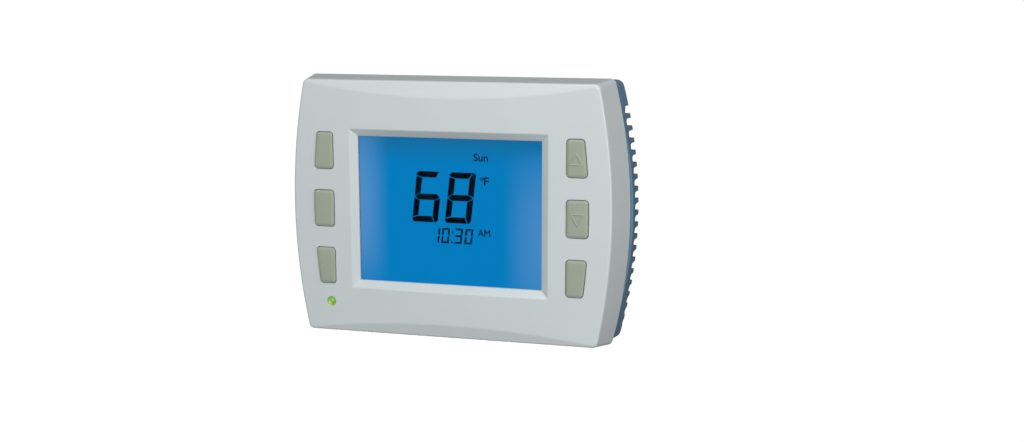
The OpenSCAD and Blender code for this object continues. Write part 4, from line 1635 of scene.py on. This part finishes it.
@dataclass
class Display:
    """The figures and words in front of the lit film."""

    film_u: float = 25.11
    ink_t: float = 0.05
    temperature: Segments = Segments(
        "68", x=-17.5, z=-5.45, w=11.6, h=21.9, stroke=2.6, slant=0.118, gap=0.26,
        steps=(0.0, 14.75),
    )
    clock: Segments = Segments(
        "1030", x=-8.0, z=-14.3, w=3.4, h=6.65, stroke=0.8, slant=0.11, gap=0.06,
        steps=(-0.8, 3.55, 9.35, 13.9),
    )
    colon: tuple[tuple[float, float], ...] = ((0.75, -9.5), (0.3, -13.75))
    colon_w: float = 0.75
    degree: tuple[float, float] = (13.75, 14.0)
    degree_outer: float = 1.45
    degree_inner: float = 0.75
    words: tuple[Word, ...] = (
        Word("word_day", "Sun", 10.3, 21.4, 6.2, 3.25),
        Word("word_scale", "F", 14.7, 11.25, 2.2, 3.5),
        Word("word_half", "AM", 11.95, -10.7, 5.5, 3.05),
    )
    seam: float = 0.0001  # in the lettering's own units

    def figures(self) -> Shell:
        """All segments, the colon and the degree sign.

        Returns:
            One surface.
        """
        u0, u1 = self.film_u, self.film_u + self.ink_t
        parts = self.temperature.shells(u0, u1) + self.clock.shells(u0, u1)
        for x, z in self.colon:
            parts.append(prism(rectangle(x, z, self.colon_w, self.colon_w), u0, u1))
        outer, inner = (circle(*self.degree, d) for d in (self.degree_outer, self.degree_inner))
        parts.append(tube(outer, inner, u0, u1))
        return merged(parts)

    def word(self, word: Word) -> bpy.types.Object:
        """A word as a thin solid, fitted to its width and height.

        Args:
            word: what it says, and where it stands.

        Returns:
            The mesh object, at the origin.
        """
        curve = bpy.data.curves.new("lettering", "FONT")
        curve.body = word.text
        curve.extrude = 0.5
        source = new_object("lettering", curve)
        mesh = evaluated_mesh(source)
        bpy.data.objects.remove(source)
        face_outwards(mesh, self.seam)
        points = self.bolder(mesh, word.bold)
        low, high = points.min(0), points.max(0)
        share = (points - low) / (high - low)
        placed = np.column_stack(
            (
                word.x + share[:, 0] * word.w,
                -(self.film_u + share[:, 2] * self.ink_t),
                word.z + share[:, 1] * word.h,
            )
        )
        mesh.vertices.foreach_set("co", (placed * MM).ravel())
        mesh.name = word.name
        face_outwards(mesh)
        return new_object(word.name, mesh)

    def bolder(self, mesh: bpy.types.Mesh, by: float) -> np.ndarray:
        """The points of flat lettering, with its upright sides moved outwards.

        A point's move is 2 * by * s / |s|^2, where s is the sum of the normals of the sides that
        meet in it. At sharp corners |s|^2 is taken as 1, so that they don't grow into spikes.

        Args:
            mesh: the lettering, with its flat faces across z.
            by: how far each side moves.

        Returns:
            The moved points.
        """
        points = np.zeros((len(mesh.vertices), 3))
        mesh.vertices.foreach_get("co", points.reshape(-1))
        normals = np.array([face.normal for face in mesh.polygons])
        sides = np.repeat(normals, [face.loop_total for face in mesh.polygons], axis=0)
        owners = np.array([loop.vertex_index for loop in mesh.loops])
        upright = np.abs(sides[:, 2]) < 0.5
        total = np.zeros_like(points)
        np.add.at(total, owners[upright], sides[upright])
        length = np.maximum((total**2).sum(1, keepdims=True), 1.0)
        return points + 2 * by * total / length

    def make(self, finish: Materials) -> None:
        """Builds the figures and the words, dresses them and fits them.

        Args:
            finish: the materials.
        """
        pieces = [self.figures().piece("display_figures")]
        pieces += [self.word(word) for word in self.words]
        for piece in pieces:
            fit(piece, Body.FRONT.value, "lit_display", finish["segment_ink"])


# ---------- the status light ----------


@dataclass
class StatusLight:
    """The round light low on the left: a flanged body with a domed tip and two legs."""

    housing: FrontHousing
    x: float = LIGHT_AT[0]
    z: float = LIGHT_AT[1]
    diameter: float = 3.9
    dome: float = 1.2
    flange: float = 4.8
    back_u: float = 23.0
    flange_t: float = 1.0
    out: float = 0.5  # how far its tip stands out of the face
    gap: float = 0.15
    legs: float = 2.54
    leg_w: float = 0.5
    board_u: float = 19.6
    steps: int = 48  # points round the light

    def opening(self) -> Shell:
        """The hole that the light needs in the face."""
        d = self.diameter + 2 * self.gap
        return self.housing.opening(lambda grow: circle(self.x, self.z, d + 2 * grow, self.steps))

    def bulb(self) -> Shell:
        """Flange, body and tip, as rings of radius r at depth u.

        Round the tip, r = diameter / 2 * cos a, and u rises by dome * sin a.

        Returns:
            The closed surface.
        """
        tip = float(self.housing.crown_at(self.x)) + self.out - self.dome
        shoulder, r = self.back_u + self.flange_t, self.diameter / 2
        profile = [(self.flange / 2, self.back_u), (self.flange / 2, shoulder), (r, shoulder)]
        a = np.radians((0, 15, 30, 45, 60, 75, 85))
        profile += list(zip(r * np.cos(a), tip + self.dome * np.sin(a)))
        rings = [at_depth(circle(self.x, self.z, 2 * w, self.steps), u) for w, u in profile]
        return lattice(np.array(rings))

    def make(self, finish: Materials) -> None:
        """Builds the light with its legs, dresses it and fits it.

        Args:
            finish: the materials.
        """
        shells = [self.bulb()]
        for side in (-1, 1):
            leg = rectangle(self.x + side * self.legs / 2, self.z, self.leg_w, self.leg_w)
            shells.append(prism(leg, self.board_u, self.back_u + self.flange_t / 2))
        piece = merged(shells).piece("status_light")
        smooth(piece, 35)
        fit(piece, Body.FRONT.value, "green_led", finish["green_led"], "status_led")


# ---------- the wall base ----------


@dataclass
class WallBase:
    """The blue base: a shallow tray with a comb of vent slots down each side."""

    housing: FrontHousing

    # the tray
    wall_form: BowedForm = BowedForm(76.2, 55.9, 7.6, 3.4, -1.1)
    seam_form: BowedForm = BowedForm(76.0, 55.9, 9.6, 3.4, -1.1)
    depth: float = 11.5
    wall: float = 2.0
    plate: float = 2.2
    rear_soft: float = 0.7
    seam_soft: float = 0.5
    hub: float = 0.1

    # what is cut out of it
    cut_over: float = 1.0
    vents: int = 19
    vent_pitch: float = 5.13
    vent_h: float = 3.3
    vent_u: float = 7.4
    low_vent_u: float = 1.3
    full_from: float = -14.0
    vent_wrap: float = 5.0
    vent_run: float = 20.0
    vent_z: float = -3.8
    box_pitch: float = 83.3
    slot: tuple[float, float] = (4.6, 9.0)
    wires: tuple[float, float] = (36.0, 26.0)
    wire_radius: float = 1.0

    # what stands in it
    sunk: float = 0.05
    low_rib: float = 1.2
    wire_rim: float = 1.5
    rim_radius: float = 1.6
    boss_x: float = 59.6
    boss_z: tuple[float, ...] = (18.4, 33.6)
    boss_u: float = 4.2
    boss: float = 6.0
    pilot: float = 2.6
    lip_l: float = 96.0
    lip_t: float = 1.2
    lip_z: float = 54.5
    lip_mid: float = -0.8
    lip_u: tuple[float, float] = (9.5, 13.1)
    lip_soft: float = 0.3
    bump: tuple[float, float, float] = (10.0, 0.4, 0.8)
    bump_radius: float = 0.15
    bump_x: float = 32.0
    guide_z: float = 40.0
    guide_l: float = 8.0
    guide_w: float = 5.0
    guide_in: float = 2.0
    guide_u: float = 10.5
    tongue_w: float = 2.6
    tongue_gap: float = 0.7
    ribs_x: tuple[float, ...] = (-54.0, -30.0, 30.0, 54.0)
    ribs_z: float = -35.0
    rib: tuple[float, float] = (1.4, 26.0)

    def form(self, depth: float, inset: float = 0) -> np.ndarray:
        """The outline at a depth: the two end outlines mixed by depth.

        Args:
            depth: how far it is from the wall.
            inset: how far it is drawn in.

        Returns:
            The ring.
        """
        rear, seam = (
            at_depth(form.grown(-inset, -inset / 2).outline(), depth)
            for form in (self.wall_form, self.seam_form)
        )
        return rear + (seam - rear) * depth / self.depth

    def tray(self) -> Shell:
        """The tray as one surface, from the middle of its rear to the middle of its floor.

        Returns:
            The closed surface.
        """
        rear = self.form(0, self.rear_soft)
        middle = np.array([0, 0, self.wall_form.mid_z])
        rings = [middle + (rear - middle) * share for share in np.linspace(self.hub, 1, 12)]
        side = self.form(self.rear_soft)
        rings += rounded_edge(rear, self.form(0), side, 5)
        upper = self.form(self.depth - self.seam_soft)
        rings += between(side, upper, 8)
        ledge = self.form(self.depth, self.seam_soft)
        rings += rounded_edge(upper, self.form(self.depth), ledge, 4)
        inner = self.form(self.depth, self.wall)
        floor = self.form(self.plate, self.wall)
        rings += between(ledge, inner, 2) + between(inner, floor, 6)
        centre = np.array([0, self.plate, self.wall_form.mid_z])
        shares = np.linspace(1, self.hub, 12)[1:]
        return lattice(np.array(rings + [centre + (floor - centre) * share for share in shares]))

    def vent_rows(self) -> np.ndarray:
        """Heights of the vent slots, from the lowest up."""
        return self.vent_z + (np.arange(self.vents) - (self.vents - 1) / 2) * self.vent_pitch

    def vent(self, side: int, z: float) -> Shell:
        """One vent slot: it runs from the wall to a half-round end, and wraps onto the plate.

        Below full_from its depth falls evenly, from vent_u to low_vent_u at the lowest slot.

        Args:
            side: -1 for the left one, 1 for the right one.
            z: its height.

        Returns:
            What is cut out.
        """
        r = self.vent_h / 2
        reach = (self.low_vent_u, self.vent_u)
        depth = np.interp(z, (self.vent_rows()[0], self.full_from), reach)
        end = half_circle(depth - r, z, self.vent_h)
        outline = np.vstack(([[-self.cut_over, z - r]], end, [[-self.cut_over, z + r]]))
        inner = float(self.wall_form.side_at(z)) - self.vent_wrap
        first, last = sorted((side * inner, side * (inner + self.vent_run)))
        return prism(outline, first, last).turned()

    def slot_at(self, x: float, z: float, upright: bool) -> Shell:
        """A screw slot with half-round ends through the plate.

        Args:
            x: its middle, across.
            z: its middle, up.
            upright: True if its length runs up, and False if it runs across.

        Returns:
            What is cut out.
        """
        w, length = self.slot
        end = half_circle((length - w) / 2, 0, w)
        ring = np.vstack((end, -end))
        if upright:
            ring = ring[:, ::-1]
        return prism(ring + (x, z), -self.cut_over, self.plate + self.cut_over)

    def cuts(self) -> list[Shell]:
        """Everything that is cut out of the tray.

        Returns:
            The opening for the wires, the screw slots and the vents.
        """
        half = self.box_pitch / 2
        wires = rounded(rectangle(0, 0, *self.wires), self.wire_radius)
        parts = [prism(wires, -self.cut_over, self.plate + self.cut_over)]
        for side in (-1, 1):
            parts += [self.slot_at(0, side * half, True), self.slot_at(side * half, 0, False)]
            parts += [self.vent(side, float(z)) for z in self.vent_rows()]
        return parts

    def lip(self, side: int) -> list[Shell]:
        """The lip at the top or the bottom, with two bumps that hold the front.

        Args:
            side: 1 for the top, -1 for the bottom.

        Returns:
            The lip and its bumps.
        """
        w, h, drop = self.bump
        low, high = self.lip_u
        bar = rectangle(
            0, self.lip_mid + side * (self.lip_z - self.lip_t / 2), self.lip_l, self.lip_t
        )
        parts = [prism(rounded(bar, self.lip_soft), low, high, soft=self.lip_soft)]
        for x in (-self.bump_x, self.bump_x):
            bump = rectangle(x, self.lip_mid + side * self.lip_z, w, h)
            parts.append(prism(rounded(bump, self.bump_radius), high - drop, high))
        return parts

    def guides(self, z: float) -> list[Shell]:
        """A guide on either side, with the tongue that stands inside the front's wall.

        Args:
            z: their height.

        Returns:
            Guide and tongue for the left, then for the right.
        """
        floor, rear = self.plate - self.sunk, self.housing.rear
        edge = float(self.wall_form.side_at(z)) - self.guide_in
        far = rear.mid_z + abs(z - rear.mid_z) + self.guide_l / 2
        tongue = float(rear.side_at(far)) - self.housing.wall - self.tongue_gap
        parts = []
        for side in (-1, 1):
            guide = rectangle(side * (edge - self.guide_w / 2), z, self.guide_w, self.guide_l)
            block = rectangle(side * (tongue - self.tongue_w / 2), z, self.tongue_w, self.guide_l)
            parts.append(prism(guide, floor, self.guide_u))
            parts.append(prism(block, floor, self.lip_u[1], soft=self.lip_soft))
        return parts

    def fittings(self) -> list[Shell]:
        """The wires' rim, lips with their bumps, side guides, board bosses and the ribs.

        Returns:
            A surface for each, sunk a little into the plate.
        """
        floor, low = self.plate - self.sunk, self.plate + self.low_rib
        w, h = self.wires
        outer = rectangle(0, 0, w + 2 * self.wire_rim, h + 2 * self.wire_rim)
        inner = rounded(rectangle(0, 0, w, h), self.wire_radius)
        parts = [tube(rounded(outer, self.rim_radius), inner, floor, low)]
        for side in (-1, 1):
            parts += self.lip(side) + self.guides(side * self.guide_z)
        for x in (-self.boss_x, self.boss_x):
            for z in self.boss_z:
                outer, inner = circle(x, z, self.boss), circle(x, z, self.pilot)
                parts.append(tube(outer, inner, floor, self.boss_u))
        for x in self.ribs_x:
            parts.append(prism(rectangle(x, self.ribs_z, *self.rib), floor, low))
        return parts

    def make(self, finish: Materials) -> None:
        """Builds the base, dresses it and fits it.

        Args:
            finish: the materials.
        """
        piece = self.tray().piece("base_tray")
        carve(piece, self.cuts())
        join(piece, self.fittings())
        smooth(piece, 34)
        fit(piece, Body.BASE.value, "base_plastic", finish["base_plastic"], "wall_base")


# ---------- the studio ----------


def aim(
    obj: bpy.types.Object, axes: Sequence[Sequence[float]], place: Sequence[float]
) -> None:
    """Turns a lamp or the camera, and puts it in its place.

    Args:
        obj: the object.
        axes: unit vectors along its own x, y and z.
        place: where it stands, in metres.
    """
    matrix = np.eye(4)
    matrix[:3, :3] = np.column_stack(axes)
    matrix[:3, 3] = place
    obj.matrix_world = Matrix(matrix.tolist())


@dataclass(frozen=True)
class Lamp:
    """A soft lamp. It is far away, or near where it has a distance.

    Its light is the direction towards it, as long as the share of plain light that it adds to a
    surface that faces it. A far lamp looks spread degrees wide, and a near one is a square. The
    distance and the size of a near one are in metres.
    """

    name: str
    light: tuple[float, float, float]
    spread: float = 0.0
    distance: float = 0.0
    size: float = 0.0

    def build(self) -> None:
        """Makes the lamp: a near one's power is share * (pi * distance)^2."""
        share = float(np.linalg.norm(self.light))
        data = bpy.data.lights.new(self.name, "AREA" if self.distance else "SUN")
        if self.distance:
            data.energy = share * (math.pi * self.distance) ** 2
            data.size = self.size
        else:
            data.energy = share * math.pi
            data.angle = math.radians(self.spread)
        way = np.array(self.light) / share
        side = np.cross((0, 0, 1), way)
        side /= np.linalg.norm(side)
        place = way * (self.distance or 2.0)
        aim(new_object(self.name, data), (side, np.cross(way, side), way), place)


@dataclass
class Studio:
    """The floor, the air, the lamps and the camera, in metres."""

    floor_z: float = -0.42
    floor_size: float = 6.0
    floor_shade: float = 0.3
    floor_patch: float = 0.97
    floor_white: float = 1.03
    air: float = 0.20
    lamps: tuple[Lamp, ...] = (
        Lamp("key_light", (0.046, -0.363, 0.108), spread=20),
        Lamp("side_light", (0.246, -0.118, 0.0), distance=0.7, size=0.35),
        Lamp("top_light", (0.0, -0.025, 0.105), spread=30),
        Lamp("back_light", (-0.14, 0.34, -0.15), distance=0.75, size=0.3),
        Lamp("near_light", (0.04, -0.275, 0.232), distance=0.6, size=0.3),
    )
    camera_at: tuple[float, float, float] = (0.18807746, -0.61327465, 0.10405582)
    right: tuple[float, float, float] = (0.95570844, 0.29425213, -0.0060886)
    up: tuple[float, float, float] = (-0.05296441, 0.19230033, 0.97990579)
    back: tuple[float, float, float] = (0.2895102, -0.93618175, 0.19936793)
    lens: float = 51.69
    sensor: float = 36.0
    shift: tuple[float, float] = (0.0459, 0.0381)

    def seen_directly(self, graph: Graph) -> Socket:
        """1 for what the camera sees straight or through glass, else 0.

        Args:
            graph: the material's or the world's graph.

        Returns:
            The value.
        """
        path = graph.add("ShaderNodeLightPath")
        seen = path.outputs["Is Camera Ray"], path.outputs["Is Transmission Ray"]
        return graph.math("ADD", *seen, clamp=True)

    def floor(self) -> None:
        """A pale floor, which shows as white in plain light and keeps the shadow.

        Its own light fills what the far lamps and the air leave: white - shade * (air + what
        each far lamp adds on a level surface).
        """
        size = self.floor_size
        mesh = bpy.data.meshes.new("floor")
        corners = [(-size, -size), (size, -size), (size, size), (-size, size)]
        mesh.from_pydata([(x, y, self.floor_z) for x, y in corners], [], [(0, 1, 2, 3)])
        shade = (self.floor_shade,) * 3
        patch = tuple(value * self.floor_patch for value in shade)
        material, graph, inputs = Finish("pale_floor", shade, patch).shader()
        grain = graph.noise(graph.place(), 8.0, 3)
        graph.put(graph.blend(grain, shade, patch), inputs["Base Color"])
        inputs["Roughness"].default_value = 0.9
        inputs["Specular IOR Level"].default_value = 0.0
        inputs["Emission Color"].default_value = (1, 1, 1, 1)
        falling = self.air + sum(lamp.light[2] for lamp in self.lamps if not lamp.distance)
        missing = self.floor_white - self.floor_shade * falling
        strength = graph.math("MULTIPLY", self.seen_directly(graph), missing)
        graph.put(strength, inputs["Emission Strength"])
        mesh.materials.append(material)
        new_object("floor", mesh)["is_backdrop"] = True

    def sky(self) -> None:
        """Even light from all sides, seen as white by the camera: air + seen * (1 - air)."""
        world = bpy.data.worlds.new("studio_air")
        world.use_nodes = True
        bpy.context.scene.world = world
        graph = Graph(world.node_tree)
        backdrop = world.node_tree.nodes["Background"]
        backdrop.inputs["Color"].default_value = (1, 1, 1, 1)
        seen = self.seen_directly(graph)
        strength = graph.math("MULTIPLY_ADD", seen, 1.0 - self.air, self.air)
        graph.put(strength, backdrop.inputs["Strength"])

    def camera(self) -> None:
        """The camera, at the view that shows the front, the right side and the top edge."""
        data = bpy.data.cameras.new("camera")
        data.sensor_width = self.sensor
        data.lens = self.lens
        data.shift_x, data.shift_y = self.shift
        data.clip_start = 0.01
        camera = new_object("camera", data)
        aim(camera, (self.right, self.up, self.back), self.camera_at)
        bpy.context.scene.camera = camera

    def build(self) -> None:
        """Sets up the whole studio."""
        self.floor()
        self.sky()
        for lamp in self.lamps:
            lamp.build()
        self.camera()
        bpy.context.scene.view_settings.view_transform = "Standard"


# ---------- the thermostat ----------


FINISHES: tuple[Finish, ...] = (
    Plastic("base_plastic", (0.098, 0.185, 0.270), (0.088, 0.168, 0.250), rough=0.40,
            worn=(0.22, 0.3, 0.38), wear=0.25, dust=0.05),
    Plastic("housing_plastic", (0.596, 0.648, 0.660), (0.576, 0.631, 0.645), rough=0.40,
            worn=(0.75, 0.78, 0.78), wear=0.0, dust=0.05, grain_depth=0.000006, level=0.5,
            coat=0.35),
    Plastic("key_rubber", (0.330, 0.385, 0.300), (0.310, 0.365, 0.285), rough=0.5,
            worn=(0.45, 0.5, 0.42), wear=0.25, dust=0.05, grain_depth=0.000008),
    ClearSheet("clear_window", (0.98, 0.99, 1.0), (0.97, 0.985, 1.0), 0.01, 1.05, 1.0, 0.1),
    # the film's second colour is the painted shade at its top
    LitFilm("lit_display", (0.0010, 0.202, 0.515), (0.008, 0.152, 0.335)),
    ClearSheet("display_glass", (0.75, 0.9, 0.95), (0.72, 0.88, 0.94), 0.02, 1.45, 0.9, 0.4),
    ClearSheet("light_guide", (0.85, 0.93, 0.98), (0.8, 0.9, 0.97), 0.15, 1.45, 0.7, 0.5),
    Plastic("white_sheet", (0.82, 0.83, 0.83), (0.78, 0.79, 0.80), rough=0.3, wear=0.0),
    Plastic("white_plastic", (0.76, 0.76, 0.73), (0.72, 0.72, 0.70), worn=(0.85, 0.85, 0.83)),
    Plastic("black_plastic", (0.022, 0.022, 0.025), (0.03, 0.03, 0.033), worn=(0.1, 0.1, 0.1)),
    Plastic("terminal_plastic", (0.02, 0.20, 0.07), (0.016, 0.17, 0.06), worn=(0.15, 0.4, 0.2)),
    Plastic("relay_plastic", (0.03, 0.10, 0.30), (0.025, 0.085, 0.26), rough=0.3,
            worn=(0.15, 0.25, 0.45)),
    Plastic("capacitor_sleeve", (0.02, 0.025, 0.07), (0.025, 0.03, 0.085), rough=0.25,
            grain_depth=0.000004, worn=(0.15, 0.15, 0.2)),
    BoardFinish("circuit_board", (0.03, 0.22, 0.07), (0.012, 0.12, 0.045)),
    Plastic("contact_rubber", (0.06, 0.06, 0.06), (0.09, 0.09, 0.09), rough=0.7),
    Metal("contact_brass", (0.80, 0.58, 0.25), (0.70, 0.50, 0.22)),
    Metal("zinc_steel", (0.66, 0.67, 0.68), (0.55, 0.56, 0.58)),
    Metal("can_metal", (0.74, 0.74, 0.72), (0.64, 0.64, 0.63), rough=0.22),
    Plastic("led_body", (0.82, 0.78, 0.55), (0.78, 0.73, 0.48), rough=0.3),
    GlowLens("green_led", (0.215, 0.44, 0.038), (0.11, 0.27, 0.045), (0.50, 0.60, 0.17)),
    Plastic("fuse_plastic", (0.16, 0.06, 0.03), (0.13, 0.05, 0.025), rough=0.35),
    Ink("segment_ink", (0.0025, 0.0045, 0.009), (0.0015, 0.003, 0.006)),
)


class Thermostat:
    """The whole object: its classes of pieces, built in order and dressed."""

    def __init__(self, frame: dict) -> None:
        """Keeps the frame, and makes the finishes and the sub-assemblies.
        """
        self.frame = frame
        effects = Effects()
        self.finish: Materials = {finish.slot: finish.make(effects) for finish in FINISHES}
        self.housing = FrontHousing()
        self.base = WallBase(self.housing)
        self.keys = all_keys(self.housing)
        self.light = StatusLight(self.housing)
        self.display = Display()

    def dress_nodes(self) -> None:
        """Gives every CAD node that stays the full material of its slot."""
        slots = {part["node"]: part["material_slot"] for part in self.frame["record"]["subparts"]}
        for name, obj in self.frame["nodes"].items():
            for place in obj.material_slots:
                place.material = self.finish[slots[name]]

    def build(self) -> None:
        """Dresses the CAD nodes, and builds every piece that stands for one or is added."""
        self.dress_nodes()
        holes = [key.opening() for key in self.keys] + [self.light.opening()]
        self.housing.make(self.finish, holes)
        self.base.make(self.finish)
        for key in self.keys:
            key.make(self.finish)
        self.light.make(self.finish)
        self.display.make(self.finish)


def corners() -> list[list[float]]:
    """The lowest and the highest corner of the shown object, as plain numbers."""
    return [[float(c) for c in corner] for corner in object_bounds()]


def main() -> None:
    """Loads the frame, and builds the thermostat and the studio."""
    logging.basicConfig(level=logging.INFO, format="%(name)s: %(message)s")
    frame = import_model()
    Thermostat(frame).build()
    Studio().build()


if __name__ == "__main__":
    main()
